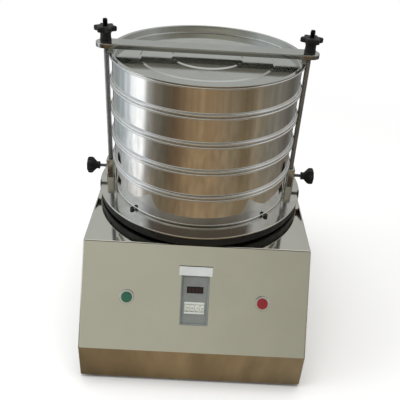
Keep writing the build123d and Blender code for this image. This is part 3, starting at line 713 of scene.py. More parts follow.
def threaded(
    name: str, radius: float, bottom: float, top: float, start_z: float, pitch: float, place: Matrix
) -> Piece:
    """Builds a rod with a helical thread at its upper end.

    Args:
        name: The piece's name.
        radius: Its radius.
        bottom: Lower end.
        top: Upper end.
        start_z: Where the thread begins.
        pitch: Rise of a turn.
        place: Where its axis goes.

    Returns:
        The rod.
    """
    root = radius - THREAD_DEPTH * pitch
    tip = 0.8 * pitch
    outline = [(0, bottom), (radius, bottom), (radius, start_z), (root, start_z + 0.5 * pitch)]
    outline += [(root, top - 0.3 * pitch), (root - 0.4 * pitch, top), (0, top)]
    rod = lathe(name, outline, Matrix(), 32, False)
    turns = int((top - tip - start_z - pitch) / pitch)
    profile = [(root + reach * pitch, 0, start_z + rise * pitch) for reach, rise in THREAD_RIDGE]
    ridge = draw(f"{name}_ridge", profile)
    bpy.ops.object.mode_set(mode="OBJECT")
    helix = ridge.modifiers.new("turns", "SCREW")
    helix.steps = helix.render_steps = 20
    helix.screw_offset = pitch
    helix.iterations = turns
    bpy.ops.object.modifier_apply(modifier=helix.name)
    bpy.ops.object.mode_set(mode="EDIT")
    bpy.ops.mesh.select_all(action="SELECT")
    bpy.ops.mesh.fill_holes(sides=4)
    close_up(THREAD_SMOOTH)
    return settle(join(name, [rod, ridge]), place)


def arc(centre: tuple[float, float], radius: float, first: float, last: float, count: int = 6) -> Outline:
    """Points of an arc in an outline.

    Args:
        centre: Radius and height of its middle.
        radius: Its own radius.
        first: Start angle in degrees, 0 pointing outwards and 90 up.
        last: End angle in degrees.
        count: Steps.

    Returns:
        The points, both ends included.
    """
    angles = [math.radians(first + (last - first) * index / count) for index in range(count + 1)]
    return [
        (centre[0] + radius * math.cos(angle), centre[1] + radius * math.sin(angle)) for angle in angles
    ]


def knob(
    name: str, rings: Sequence[tuple[float, float, float]], lobes: int, fullness: float, place: Matrix
) -> Piece:
    """Builds a lobed knob from a disc by extruding and resizing it, then presses the flutes in.

    Args:
        name: The piece's name.
        rings: Radius, height and flute depth of each ring, from below.
        lobes: Number of lobes.
        fullness: Below 1 gives wide lobes with narrow flutes.
        place: Where the axis goes.

    Returns:
        The piece.
    """
    idle()
    bpy.ops.mesh.primitive_circle_add(vertices=16 * lobes, radius=rings[0][0], fill_type="NGON")
    piece = start(name)
    bpy.ops.transform.translate(value=(0, 0, rings[0][1]))
    for (radius, height, _), (next_radius, next_height, _) in zip(rings, rings[1:]):
        bpy.ops.mesh.extrude_region_move(TRANSFORM_OT_translate={"value": (0, 0, next_height - height)})
        ratio = next_radius / radius
        bpy.ops.transform.resize(value=(ratio, ratio, 1), center_override=(0, 0, next_height))
    bpy.ops.object.mode_set(mode="OBJECT")
    depths = {round(height, 6): depth for _, height, depth in rings}
    for vertex in piece.data.vertices:
        depth = depths.get(round(vertex.co.z, 6), 0.0)
        reach = math.hypot(vertex.co.x, vertex.co.y)
        if depth == 0.0 or reach == 0.0:
            continue
        turn = math.atan2(vertex.co.y, vertex.co.x)
        pressed = depth * (0.5 - 0.5 * math.cos(lobes * turn)) ** fullness
        vertex.co.x *= 1 - pressed / reach
        vertex.co.y *= 1 - pressed / reach
    bpy.ops.object.mode_set(mode="EDIT")
    close_up()
    return settle(piece, place)


def dress(objects: Iterable[Piece], material: Material) -> None:
    """Gives objects one material.

    Args:
        objects: The pieces or CAD nodes.
        material: Their finish.
    """
    for piece in objects:
        piece.data.materials.clear()
        piece.data.materials.append(material)


def node(name: str) -> Piece:
    """A CAD node by its name."""
    return frame["nodes"][name]


def hand_over(piece: Piece, body: str, slot: str, *nodes: str) -> None:
    """Lets a piece ride on a body and stand for CAD nodes.

    Args:
        piece: The new piece.
        body: The body that carries it.
        slot: The record's material slot; not used.
        nodes: CAD nodes that it replaces.
    """
    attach(piece, body)
    if nodes:
        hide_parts(*nodes)
    log.info("%s rides on %s", piece.name, body)


@dataclass
class SieveStack:
    """The pan, the four sieves and the lid, spun from thin sheet."""

    sheet: float = 1.0 * MM
    bead_reach: float = 4.0 * MM
    bead_height: float = 5.0 * MM
    nest_depth: float = 8.0 * MM
    nest_gap: float = 0.3 * MM
    ledge_rise: float = 3.0 * MM
    pan_corner: float = 3.0 * MM
    foot_bead: float = 1.0 * MM
    lid_step: float = 1.5 * MM
    inner_ring: float = 55.0 * MM
    outer_ring: float = 105.0 * MM
    ring_slope: float = 3.0 * MM
    lid_corner: float = 2.5 * MM
    lid_recess: float = 11.0 * MM
    steel_tone: Colour = shade(226, 226, 224)
    steel_dull: Colour = shade(217, 217, 215)
    # The lid's steel is a darker copy of the sieves' steel, painted shade that dims the lid's reflection.
    lid_tone: Colour = shade(196, 197, 193)
    lid_dull: Colour = shade(191, 192, 188)
    number: int = 4
    coarse_pitch: float = 2.6 * MM
    finer: float = 0.5 * MM

    def __post_init__(self) -> None:
        """Reads the axis and the main radii from the frame."""
        low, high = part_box("sieve_1_frame")
        self.axis = Vector(((low.x + high.x) / 2, (low.y + high.y) / 2, 0))
        self.bead_radius = (high.x - low.x) / 2
        self.wall_radius = self.bead_radius - self.bead_reach
        self.bore_radius = self.wall_radius - self.sheet
        self.skirt_radius = self.bore_radius - self.nest_gap
        self.place = Matrix.Translation(self.axis)
        self.centre = (self.axis.x, self.axis.y, 0.0)

    def bead(self, bottom: float) -> Outline:
        """Draws a half-round rolled bead upwards from a height."""
        half = self.bead_height / 2
        return arc((self.bead_radius - half, bottom + half), half, -90, 90, 10)

    def pan(self) -> Piece:
        """Spins the receiver pan.

        Returns:
            The pan.
        """
        low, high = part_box("receiver_pan")
        corner = (self.wall_radius - self.pan_corner, low.z + self.pan_corner)
        inner = self.pan_corner - self.sheet
        foot = (self.wall_radius - 0.2 * self.foot_bead, low.z + self.pan_corner + self.foot_bead)
        outline = [
            (0, low.z), *arc(corner, self.pan_corner, -90, 0), *arc(foot, self.foot_bead, -70, 70, 8)
        ]
        outline += [(self.wall_radius, high.z - self.bead_height), *self.bead(high.z - self.bead_height)]
        outline += [(self.bore_radius, high.z), *arc(corner, inner, 0, -90), (0, low.z + self.sheet)]
        return lathe("receiver_pan_spun", outline, self.place, loop=False)

    def sieve(self, number: int) -> Piece:
        """Spins one sieve frame.

        Args:
            number: 1 is the top sieve.

        Returns:
            The frame.
        """
        low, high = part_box(f"sieve_{number}_frame")
        seat = low.z + self.nest_depth
        skirt_inner = self.skirt_radius - self.sheet
        outline = [
            (self.bore_radius, seat + self.ledge_rise),
            (skirt_inner, seat + self.ledge_rise),
            (skirt_inner, low.z),
            (self.skirt_radius, low.z),
            (self.skirt_radius, seat),
            *self.bead(seat),
            (self.wall_radius, seat + self.bead_height),
            (self.wall_radius, high.z - self.bead_height),
            *self.bead(high.z - self.bead_height),
            (self.bore_radius, high.z),
        ]
        return lathe(f"sieve_{number}_spun", outline, self.place)

    def lid(self) -> Piece:
        """Spins the stepped lid.

        Returns:
            The lid.
        """
        low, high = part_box("lid")
        floor = high.z - self.lid_recess
        wall = self.skirt_radius - self.sheet
        corner = (wall - self.lid_corner, floor + self.lid_corner)
        steps = [
            (0, floor + 2 * self.lid_step),
            (self.inner_ring, floor + 2 * self.lid_step),
            (self.inner_ring + self.ring_slope, floor + self.lid_step),
            (self.outer_ring, floor + self.lid_step),
            (self.outer_ring + self.ring_slope, floor),
        ]
        outline = [
            *steps, *arc(corner, self.lid_corner, -90, 0), (wall, high.z), (self.bead_radius, high.z)
        ]
        outline += [(self.bead_radius, high.z - self.sheet), (self.skirt_radius, high.z - self.sheet)]
        outline += arc(corner, self.lid_corner + self.sheet, 0, -90)
        outline += [(radius, height - self.sheet) for radius, height in reversed(steps)]
        return lathe("lid_spun", outline, self.place, loop=False, smooth=LID_SMOOTH)

    def build(self) -> None:
        """Builds and dresses the stack."""
        turned = {"grain": Grain.TURNED, "centre": self.centre}
        steel = Steel(
            "mirror_spun_steel", self.steel_tone, self.steel_dull, 0.045, 0.04, **turned
        ).material()
        pan = self.pan()
        hand_over(pan, "pan", "polished_steel", "receiver_pan")
        dress([pan], steel)
        lid = self.lid()
        hand_over(lid, "stack_lid", "polished_steel", "lid")
        # The lid is dressed in the darker copy of the stack's steel, which is painted shade.
        dress(
            [lid], Steel("pressed_lid_steel_painted_shade", self.lid_tone, self.lid_dull, 0.09, 0.06, **turned).material()
        )
        wire = shade(176, 176, 172)
        worn = shade(150, 150, 146)
        punched = Steel("punched_steel", wire, worn, 0.3, 0.15, Grain.ALONG_X, self.centre)
        dress([node("sieve_1_mesh")], punched.material())
        for number in range(1, self.number + 1):
            sieve = self.sieve(number)
            hand_over(sieve, f"sieve_{number}", "polished_steel", f"sieve_{number}_frame")
            dress([sieve], steel)
            if number > 1:
                pitch = self.coarse_pitch - number * self.finer
                # The dark colour given for the openings is painted shade.
                cloth = WovenWire(f"wire_cloth_{number}", wire, shade(40, 40, 38), pitch, self.centre)
                dress([node(f"sieve_{number}_mesh")], cloth.material())


@dataclass
class Deck:
    """Tray, black vibrating plate, springs and pedestals."""

    edge: float = 1.0 * MM

    def tray(self, stack: SieveStack) -> Piece:
        """Spins the round flat tray with its eased edge.

        Args:
            stack: The stack that stands on it.

        Returns:
            The tray.
        """
        low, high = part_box("tray_disc")
        radius = (high.x - low.x) / 2
        outline = [(0, high.z), *arc((radius - self.edge, high.z - self.edge), self.edge, 90, 0)]
        outline += [(radius, low.z), (0, low.z)]
        return lathe("tray_spun", outline, stack.place, 200, False)

    def build(self, stack: SieveStack) -> None:
        """Builds and dresses the deck.

        Args:
            stack: The stack that stands on it.
        """
        tray = self.tray(stack)
        hand_over(tray, "platform", "polished_steel", "tray_disc")
        steel = Steel(
            "turned_tray_steel",
            shade(212, 211, 206),
            shade(196, 194, 188),
            0.09,
            0.06,
            Grain.TURNED,
            stack.centre,
        ).material()
        dress([tray], steel)
        plate = fair_copy("vibrating_plate", "vibrating_plate_enamelled")
        hand_over(plate, "platform", "black_casting", "vibrating_plate")
        enamel = Moulding(
            "black_enamel",
            shade(24, 24, 22),
            shade(34, 33, 30),
            0.45,
            0.2,
            420.0,
            0.00012,
            0.35,
            specular=0.3,
        ).material()
        dress([plate], enamel)
        bolts = fair_copy("tray_bolts", "tray_bolts_turned")
        hand_over(bolts, "platform", "rod_steel", "tray_bolts")
        oxide = Moulding("black_oxide", shade(38, 38, 38), shade(64, 62, 58), 0.4, 0.2, 2200.0).material()
        dress([bolts], oxide)
        springs = fair_copy("support_springs", "support_springs_wound")
        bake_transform(springs)
        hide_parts("support_springs")
        dress(
            [springs], Steel("spring_wire", shade(150, 150, 152), shade(110, 108, 106), 0.3, 0.2).material()
        )
        turned = Steel(
            "turned_machine_steel",
            shade(176, 175, 172),
            shade(140, 138, 134),
            0.28,
            0.2,
            Grain.TURNED,
            stack.centre,
        ).material()
        machined = (
            "spring_pedestals", "motor_bell", "motor_shaft", "motor_bearings", "motor_bolts", "wheel_axle"
        )
        dress([node(name) for name in machined], turned)
        cast = Moulding(
            "cast_aluminium", shade(168, 170, 172), shade(134, 136, 138), 0.45, 0.2, 900.0, 0.0002, 0.5
        )
        dress([node("motor_housing"), node("motor_end_cover")], cast.material())
        laminated = Steel(
            "laminated_steel",
            shade(120, 120, 122),
            shade(90, 88, 86),
            0.4,
            0.2,
            Grain.ALONG_X,
            stack.centre,
            0.0001,
            2000.0,
            lines=0.5,
        ).material()
        dress([node("stator_core"), node("rotor_core")], laminated)
        iron = Moulding(
            "machined_iron", shade(118, 118, 120), shade(92, 88, 84), 0.4, 0.2, 1200.0
        ).material()
        dress([node("upper_weight"), node("lower_weight")], iron)


@dataclass
class Clamp:
    """Rods, bar, star knobs and side knobs."""

    sheet: float = 2.0 * MM
    fold: float = 1.5 * MM
    hole_gap: float = 0.5 * MM
    rod_pitch: float = 1.25 * MM
    rod_thread: float = 50.0 * MM
    screw_pitch: float = 1.0 * MM
    lobes: int = 6
    lobe_depth: float = 5.0 * MM
    hub_radius: float = 9.0 * MM
    hub_height: float = 14.0 * MM
    head_edge: float = 2.0 * MM
    hub_flare: float = 1.2
    hub_sink: float = 2.0 * MM
    bore_mouth: float = 1.2 * MM
    flutes: int = 7
    flute_depth: float = 2.6 * MM
    side_waist: float = 0.47
    side_well: float = 0.8 * MM
    screw_plain: float = 4.0 * MM
    # How far under the bar's top sheet the painted shade on its folded sides begins.
    lip: float = 1.1 * MM

    def rod_place(self, side: str) -> Matrix:
        """Where a rod's axis stands."""
        low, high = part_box(f"clamp_rod_{side}")
        return Matrix.Translation(((low.x + high.x) / 2, (low.y + high.y) / 2, 0))

    def rod_radius(self) -> float:
        """Radius of the rods."""
        low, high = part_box("clamp_rod_left")
        return (high.x - low.x) / 2

    def bar(self) -> Piece:
        """Presses the bar: a round-ended blank with folded edges, hollow below, with two rod holes.

        Returns:
            The bar.
        """
        low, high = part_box("clamp_bar")
        half = (high.y - low.y) / 2
        middle = (low.y + high.y) / 2
        points = arc(
            (high.x - half, middle), half, -90, 90, 20
        ) + arc((low.x + half, middle), half, 90, 270, 20)
        bar = blank("clamp_bar_pressed", points, low.z, high.z - low.z)
        ease(bar, high.z, self.fold)
        choose_faces(bar, lambda middle, normal: middle.z < low.z + MERGE_GAP)
        bpy.ops.mesh.inset(thickness=self.sheet)
        bpy.ops.mesh.extrude_region_move(
            TRANSFORM_OT_translate={"value": (0, 0, high.z - low.z - self.sheet)}
        )
        close_up()
        reach = self.rod_radius() + self.hole_gap
        for side in ("left", "right"):
            outline = [
                (0, low.z - reach), (reach, low.z - reach), (reach, high.z + reach), (0, high.z + reach)
            ]
            cut(bar, lathe("rod_hole", outline, self.rod_place(side), 40, False))
        return bar

    def rod(self, side: str) -> Piece:
        """Turns one rod with its thread.

        Args:
            side: left or right.

        Returns:
            The rod.
        """
        low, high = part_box(f"clamp_rod_{side}")
        name = f"clamp_rod_{side}_threaded"
        thread = high.z - self.rod_thread
        return threaded(
            name, self.rod_radius(), low.z, high.z, thread, self.rod_pitch, self.rod_place(side)
        )

    def side_screw(self, side: str, sign: int) -> Piece:
        """Turns one side screw with its thread.

        Args:
            side: left or right.
            sign: -1 for left, 1 for right.

        Returns:
            The screw.
        """
        low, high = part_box(f"side_screw_{side}")
        place = self.outwards(low, high, sign)
        name = f"side_screw_{side}_threaded"
        radius, length = (high.z - low.z) / 2, high.x - low.x
        return threaded(name, radius, 0, length, self.screw_plain, self.screw_pitch, place)

    def outwards(self, low: Vector, high: Vector, sign: int) -> Matrix:
        """Place of a piece whose axis starts at the inner end of a box and points away from the stack."""
        inner = low.x if sign > 0 else high.x
        centre = Vector((inner, (low.y + high.y) / 2, (low.z + high.z) / 2))
        return Matrix.Translation(centre) @ Matrix.Rotation(sign * math.pi / 2, 4, "Y")

    def lobed(self, reach: float, depth: float, lobes: int, fullness: float) -> Outline:
        """Outline of a lobed disc.

        Args:
            reach: Radius at the lobes' tips.
            depth: Depth of the flutes.
            lobes: Number of lobes.
            fullness: Below 1 gives wide lobes with narrow flutes.

        Returns:
            The points.
        """
        count = 18 * lobes
        turns = [FULL_TURN * index / count for index in range(count)]
        radii = [reach - depth * (0.5 - 0.5 * math.cos(lobes * turn)) ** fullness for turn in turns]
        return [(radius * math.cos(turn), radius * math.sin(turn)) for turn, radius in zip(turns, radii)]

    def star_knob(self, side: str) -> Piece:
        """Builds a star knob: a lobed head on a waisted hub, bored for the rod.

        Args:
            side: left or right.

        Returns:
            The knob.
        """
        low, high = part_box(f"top_knob_{side}")
        reach = (high.x - low.x) / 2
        height = high.z - low.z
        lobed = self.lobed(reach, self.lobe_depth, self.lobes, 0.8)
        head = blank(f"star_knob_{side}", lobed, self.hub_height, height - self.hub_height)
        for level in (height, self.hub_height):
            ease(head, level, self.head_edge, clamp=True)
        close_up()
        waist = ((0.0, 0.0), (0.97, 0.0), (1.0, 0.5), (1.0, 2.5), (0.95, 4.0), (0.93, 9.0), (1.05, 12.0))
        hub = [(share * self.hub_radius, level * MM) for share, level in waist]
        flare, top = self.hub_flare * self.hub_radius, self.hub_height + self.hub_sink
        hub += [(flare, self.hub_height + 0.2 * self.hub_sink), (flare, top), (0, top)]
        unite(head, lathe("star_knob_hub", hub, Matrix(), 48, False))
        bore = self.rod_radius() + self.hole_gap / 2
        mouth = bore + self.bore_mouth
        drill = [(0, -bore), (bore, -bore), (bore, height - self.bore_mouth), (mouth, height)]
        drill += [(mouth, height + bore), (0, height + bore)]
        cut(head, lathe("star_knob_bore", drill, Matrix(), 40, False))
        return settle(head, self.rod_place(side) @ Matrix.Translation((0, 0, low.z)))

    def side_knob(self, side: str, sign: int) -> Piece:
        """Builds a fluted side knob that points outwards.

        Args:
            side: left or right.
            sign: -1 for left, 1 for right.

        Returns:
            The knob.
        """
        low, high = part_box(f"side_knob_{side}")
        reach = (high.z - low.z) / 2
        length = high.x - low.x
        hub = reach * self.side_waist
        rings = [
            (hub * 0.95, 0.0, 0.0),
            (hub, 0.5 * MM, 0.0),
            (hub * 0.92, length * 0.12, 0.0),
            (hub * 0.96, length * 0.26, 0.0),
            (reach * 0.74, length * 0.45, self.side_well),
            (reach * 0.96, length * 0.6, 0.8 * self.flute_depth),
            (reach, length * 0.68, self.flute_depth),
            (reach, length * 0.86, self.flute_depth),
            (reach * 0.95, length * 0.95, 0.8 * self.flute_depth),
            (reach * 0.8, length * 0.995, 0.4 * self.flute_depth),
            (reach * 0.62, length, 0.0),
            (reach * 0.56, length - self.side_well, 0.0),
        ]
        return knob(f"fluted_knob_{side}", rings, self.flutes, 1.2, self.outwards(low, high, sign))

    def build(self) -> None:
        """Builds and dresses the clamp."""
        plastic = Moulding(
            "black_knob_plastic",
            shade(20, 20, 21),
            shade(34, 34, 35),
            0.42,
            0.2,
            1600.0,
            0.00003,
            0.3,
            specular=0.35,
        ).material()
        low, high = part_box("clamp_bar")
        rod_steel = Steel(
            "drawn_rod_steel",
            shade(166, 170, 175),
            shade(142, 146, 150),
            0.34,
            0.1,
            Grain.ALONG_Z,
            dark_above=high.z,
        ).material()
        for side, sign in (("left", -1), ("right", 1)):
            star = self.star_knob(side)
            hand_over(star, f"knob_{side}", "knob_plastic", f"top_knob_{side}")
            fluted = self.side_knob(side, sign)
            hand_over(fluted, f"lock_{side}", "knob_plastic", f"side_knob_{side}")
            dress([star, fluted], plastic)
            rod = self.rod(side)
            hand_over(rod, "platform", "rod_steel", f"clamp_rod_{side}")
            screw = self.side_screw(side, sign)
            hand_over(screw, f"lock_{side}", "rod_steel", f"side_screw_{side}")
            dress([rod, screw], rod_steel)
        bright = Steel(
            "bright_bar_steel", shade(196, 196, 191), shade(188, 188, 183), 0.1, 0.06, Grain.ALONG_X
        ).material()
        bar = self.bar()
        hand_over(bar, "clamp", "polished_steel", "clamp_bar")
        washers = fair_copy("bar_washers", "bar_washers_turned")
        hand_over(washers, "clamp", "polished_steel", "bar_washers")
        # The bar's folded sides below the top sheet get a dark painted shade in place of the steel's own
        # tone.
        edge = high.z - self.sheet - self.lip
        folded = Steel(
            "folded_bar_steel_painted_shade",
            shade(186, 187, 184),
            shade(178, 179, 176),
            0.1,
            0.06,
            Grain.ALONG_X,
            dark_below=edge,
            dark=(0.29, 0.29, 0.285),
        )
        dress([bar], folded.material())
        blued = Moulding("blued_washers", shade(40, 40, 40), shade(60, 59, 56), 0.4, 0.2, 2200.0).material()
        dress([washers], blued)
        for side in ("left", "right"):
            post = fair_copy(f"clamp_post_{side}", f"clamp_post_{side}_milled")
            hand_over(post, "platform", "polished_steel", f"clamp_post_{side}")
            dress([post], bright)


@dataclass
class Housing:
    """The folded sheet housing with its panel, rear cover and feet."""

    tone: Colour = shade(214, 213, 204)
    dull: Colour = shade(210, 209, 200)
    head_radius: float = 3.8 * MM
    head_height: float = 2.4 * MM
    shank_radius: float = 2.0 * MM
    rows: int = 3
    recess_reach: float = 0.62
    recess_width: float = 0.14
    first_turn: float = 23.0
    next_turn: float = 31.0

    def cover_screws(self) -> Piece:
        """Turns one pan-head screw with a cross recess and copies it to the cover's six holes.

        Returns:
            The joined screws.
        """
        low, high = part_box("cover_screws")
        length = high.y - low.y - self.head_height
        rise = self.head_height
        outline = [(0, -length), (self.shank_radius, -length), (self.shank_radius, 0)]
        dome = ((1.0, 0.0), (1.0, 0.35), (0.88, 0.68), (0.62, 0.9), (0.3, 1.0), (0.0, 1.0))
        outline += [(share * self.head_radius, level * rise) for share, level in dome]
        screw = lathe("cover_screw", outline, Matrix(), 32, False)
        arm, thin = self.recess_reach * self.head_radius, self.recess_width * self.head_radius
        quarter = [(arm, -thin), (arm, thin), (thin, thin)]
        cross = []
        for _ in range(4):
            cross += quarter
            quarter = [(-y, x) for x, y in quarter]
        recess = blank("cross_recess", cross, 0.3 * rise, rise)
        close_up()
        cut(screw, recess)
        outward = Matrix.Translation((0, high.y - rise, 0)) @ Matrix.Rotation(-math.pi / 2, 4, "X")
        step = (high.z - low.z - 2 * self.head_radius) / (self.rows - 1)
        screws = []
        for index in range(2 * self.rows):
            x = (low.x + self.head_radius) if index % 2 else (high.x - self.head_radius)
            z = low.z + self.head_radius + step * (index // 2)
            again = copy_of(screw, f"cover_screw_{index + 1}")
            turn = Matrix.Rotation(math.radians(self.first_turn + self.next_turn * index), 4, "Z")
            screws.append(settle(again, Matrix.Translation((x, 0, z)) @ outward @ turn))
        bpy.data.objects.remove(screw)
        return join("cover_screws_cross_head", screws)

    def build(self) -> None:
        """Builds and dresses the housing."""
        sheet = Steel(
            "polished_housing_sheet",
            self.tone,
            self.dull,
            0.06,
            0.03,
            Grain.ALONG_X,
            wave_depth=0.0001,
            wave_scale=4.0,
            cloud_scale=5.0,
        ).material()
        shell = fair_copy("base_housing", "base_housing_folded")
        hand_over(shell, "base", "panel_steel", "base_housing")
        dress([shell, node("rear_cover"), node("bottom_plate")], sheet)
        screws = self.cover_screws()
        hand_over(screws, "base", "rod_steel", "cover_screws")
        dress(
            [screws], Steel("screw_steel", shade(190, 190, 188), shade(160, 158, 155), 0.2, 0.15).material()
        )
        gland = fair_copy("cable_gland", "cable_gland_moulded")
        hand_over(gland, "base", "knob_plastic", "cable_gland")
        black = Moulding("black_gland_plastic", shade(28, 28, 29), shade(44, 44, 45), 0.45, 0.2).material()
        dress(
            [gland, node("terminal_block"), node("start_contact_block"), node("stop_contact_block")], black
        )
        feet = fair_copy("rubber_feet", "rubber_feet_moulded")
        hand_over(feet, "base", "foot_rubber", "rubber_feet")
        rubber = Moulding(
            "foot_rubber", shade(30, 30, 30), shade(58, 57, 55), 0.75, 0.15, 700.0, 0.0002, 0.5
        )
        dress([feet], rubber.material())


@dataclass
class ControlPanel:
    """Timer with thumbwheels and the two push buttons."""

    wheel_depth: float = 7.1 * MM
    wheel_drop: float = 98.5 * MM
    face_level: float = 3.5 * MM
    window_level: float = 4.0 * MM
    window_drop: float = 70.0 * MM
    wheel_radius: float = 12.0 * MM
    wheel_width: float = 6.0 * MM
    wheel_pitch: float = 7.8 * MM
    band_radius: float = 11.5 * MM
    digit_height: float = 4.2 * MM
    digit_rise: float = 0.08 * MM
    frame_margin: float = 2.2 * MM
    frame_height: float = 18.6 * MM
    frame_corner: float = 1.0 * MM
    frame_thickness: float = 0.8 * MM
    frame_edge: float = 0.3 * MM
    slot_gap: float = 0.5 * MM
    slot_height: float = 12.4 * MM
    slot_corner: float = 0.5 * MM
    wheel_bore: float = 1.7 * MM
    rim_width: float = 1.7 * MM
    teeth: int = 40
    tooth_depth: float = 0.7 * MM
    segment_length: float = 2.6 * MM
    segment_width: float = 0.55 * MM
    segment_gap: float = 0.3 * MM
    segment_rise: float = 0.06 * MM
    display_places: int = 4
    display_pitch: float = 5.6 * MM
    shown: tuple[int, ...] = (0, 0, 3, 0)

    def __post_init__(self) -> None:
        """Reads the panel's plane from the frame's joints."""
        joints = {joint["name"]: joint for joint in frame["joints"]}
        self.normal = -Vector(joints["start_press"]["axis"]).normalized()
        self.upward = self.normal.cross(Vector((1, 0, 0)))
        first = Vector(joints["thumbwheel_1_turn"]["pos_m"])
        axle = Vector((0, first.y, first.z))
        origin = axle + self.wheel_depth * self.normal + self.wheel_drop * self.upward
        axes = Matrix((Vector((1, 0, 0)), self.upward, self.normal)).transposed().to_4x4()
        self.place = Matrix.Translation(origin) @ axes
        turns = [joints[f"thumbwheel_{number}_turn"] for number in range(1, len(self.shown) + 1)]
        self.wheel_xs = [Vector(turn["pos_m"]).x for turn in turns]

    def wheel_frame(self) -> Piece:
        """Makes the pale frame round the thumbwheels, its upper edge eased.

        Returns:
            The frame.
        """
        width = (len(self.shown) - 1) * self.wheel_pitch + self.wheel_width + self.frame_margin
        outer = oblong(width, self.frame_height, self.frame_corner, (0, -self.wheel_drop))
        rim = blank("wheel_frame", outer, self.face_level, self.frame_thickness)
        ease(rim, self.face_level + self.frame_thickness, self.frame_edge, segments=2)
        close_up()
        opening = self.wheel_width + self.slot_gap
        for x in self.wheel_xs:
            slot = oblong(opening, self.slot_height, self.slot_corner, (x, -self.wheel_drop))
            hole = blank("wheel_slot", slot, self.face_level - MM, 3 * MM)
            close_up()
            cut(rim, hole)
        return settle(rim, self.place)

    def digit(self, number: int) -> Piece:
        """Cuts one digit as a thin raised plate, centred on the axes.

        Args:
            number: 0 to 9.

        Returns:
            The digit.
        """
        idle()
        bpy.ops.object.text_add()
        text = bpy.context.active_object
        text.data.body = str(number)
        text.data.size = self.digit_height
        text.data.align_x = "CENTER"
        text.data.align_y = "CENTER"
        text.data.resolution_u = 3
        text.data.extrude = self.digit_rise
        bpy.ops.object.convert(target="MESH")
        digit = start(f"digit_{number}")
        close_up()
        return digit

    def wheel(self, paint: Material, plastic: Material) -> Piece:
        """Builds a thumbwheel round its own Z axis: a digit band, a toothed rim and ten digits.

        Args:
            paint: The digits' finish.
            plastic: The wheel's finish.

        Returns:
            The wheel, its 0 towards its own X.
        """
        half = self.wheel_width / 2
        bore, rim = self.wheel_bore, self.rim_width
        outline = [
            (bore, -half), (self.band_radius, -half), (self.band_radius, half - rim), (bore, half - rim)
        ]
        drum = lathe("wheel_band", outline, Matrix(), 60)
        tip, root = self.wheel_radius, self.wheel_radius - self.tooth_depth
        points = []
        for index in range(self.teeth):
            for share, radius in ((-0.3, root), (-0.14, tip), (0.14, tip), (0.3, root)):
                turn = FULL_TURN * (index + share) / self.teeth
                points.append((radius * math.cos(turn), radius * math.sin(turn)))
        gear = blank("wheel_teeth", points, half - rim, rim)
        close_up()
        drill = [(0, 0), (bore, 0), (bore, self.wheel_width), (0, self.wheel_width)]
        cut(gear, lathe("wheel_bore", drill, Matrix(), 24, False))
        dress([drum, gear], plastic)
        pieces = [drum, gear]
        for number in range(10):
            digit = self.digit(number)
            turn = Matrix.Rotation(FULL_TURN * number / 10, 4, "Z")
            flat = Matrix(((0, 0, 1, self.band_radius), (0, 1, 0, 0), (-1, 0, 0, -rim / 2), (0, 0, 0, 1)))
            dress([digit], paint)
            pieces.append(settle(digit, turn @ flat))
        return join("thumbwheel", pieces)

    def wheels(self) -> None:
        """Copies the thumbwheel onto its four places, each turned to the digit it shows."""
        plastic = Moulding(
            "off_white_wheel", shade(214, 216, 208), shade(200, 202, 194), 0.35, 0.1
        ).material()
        paint = Moulding("digit_paint", shade(36, 38, 38), shade(46, 48, 48), 0.5, 0.1).material()
        pattern = self.wheel(paint, plastic)
        to_axle = Matrix((self.normal, self.upward, Vector((-1, 0, 0)))).transposed().to_4x4()
        for number, (x, shown) in enumerate(zip(self.wheel_xs, self.shown), 1):
            wheel = copy_of(pattern, f"thumbwheel_{number}_numbered")
            turn = Matrix.Rotation(-FULL_TURN * shown / 10, 4, "Z")
            centre = self.place @ Vector((x, -self.wheel_drop, -self.wheel_depth))
            settle(wheel, Matrix.Translation(centre) @ to_axle @ turn)
            hand_over(wheel, f"wheel_{number}", "wheel_plastic", f"thumbwheel_{number}")
        bpy.data.objects.remove(pattern)

    def display(self) -> Piece:
        """Lays the four unlit seven-segment digits on the window.

        Returns:
            The joined segments.
        """
        half, side = self.segment_length / 2, self.segment_width / 2
        inner = half - side
        points = [(-half, 0), (-inner, -side), (inner, -side), (half, 0), (inner, side), (-inner, side)]
        pattern = blank("segment", points, 0, self.segment_rise)
        close_up()
        step = self.segment_length + self.segment_gap
        spots = [(0, 0, 0), (0, step, 0), (0, -step, 0)]
        spots += [(x, y, 90) for x in (-step / 2, step / 2) for y in (-step / 2, step / 2)]
        segments = []
        for index in range(self.display_places):
            middle = (index - (self.display_places - 1) / 2) * self.display_pitch
            for x, y, angle in spots:
                again = copy_of(pattern, "segment")
                spot = Matrix.Translation((middle + x, y - self.window_drop, self.window_level))
                segments.append(
                    settle(again, self.place @ spot @ Matrix.Rotation(math.radians(angle), 4, "Z"))
                )
        bpy.data.objects.remove(pattern)
        return join("display_segments", segments)

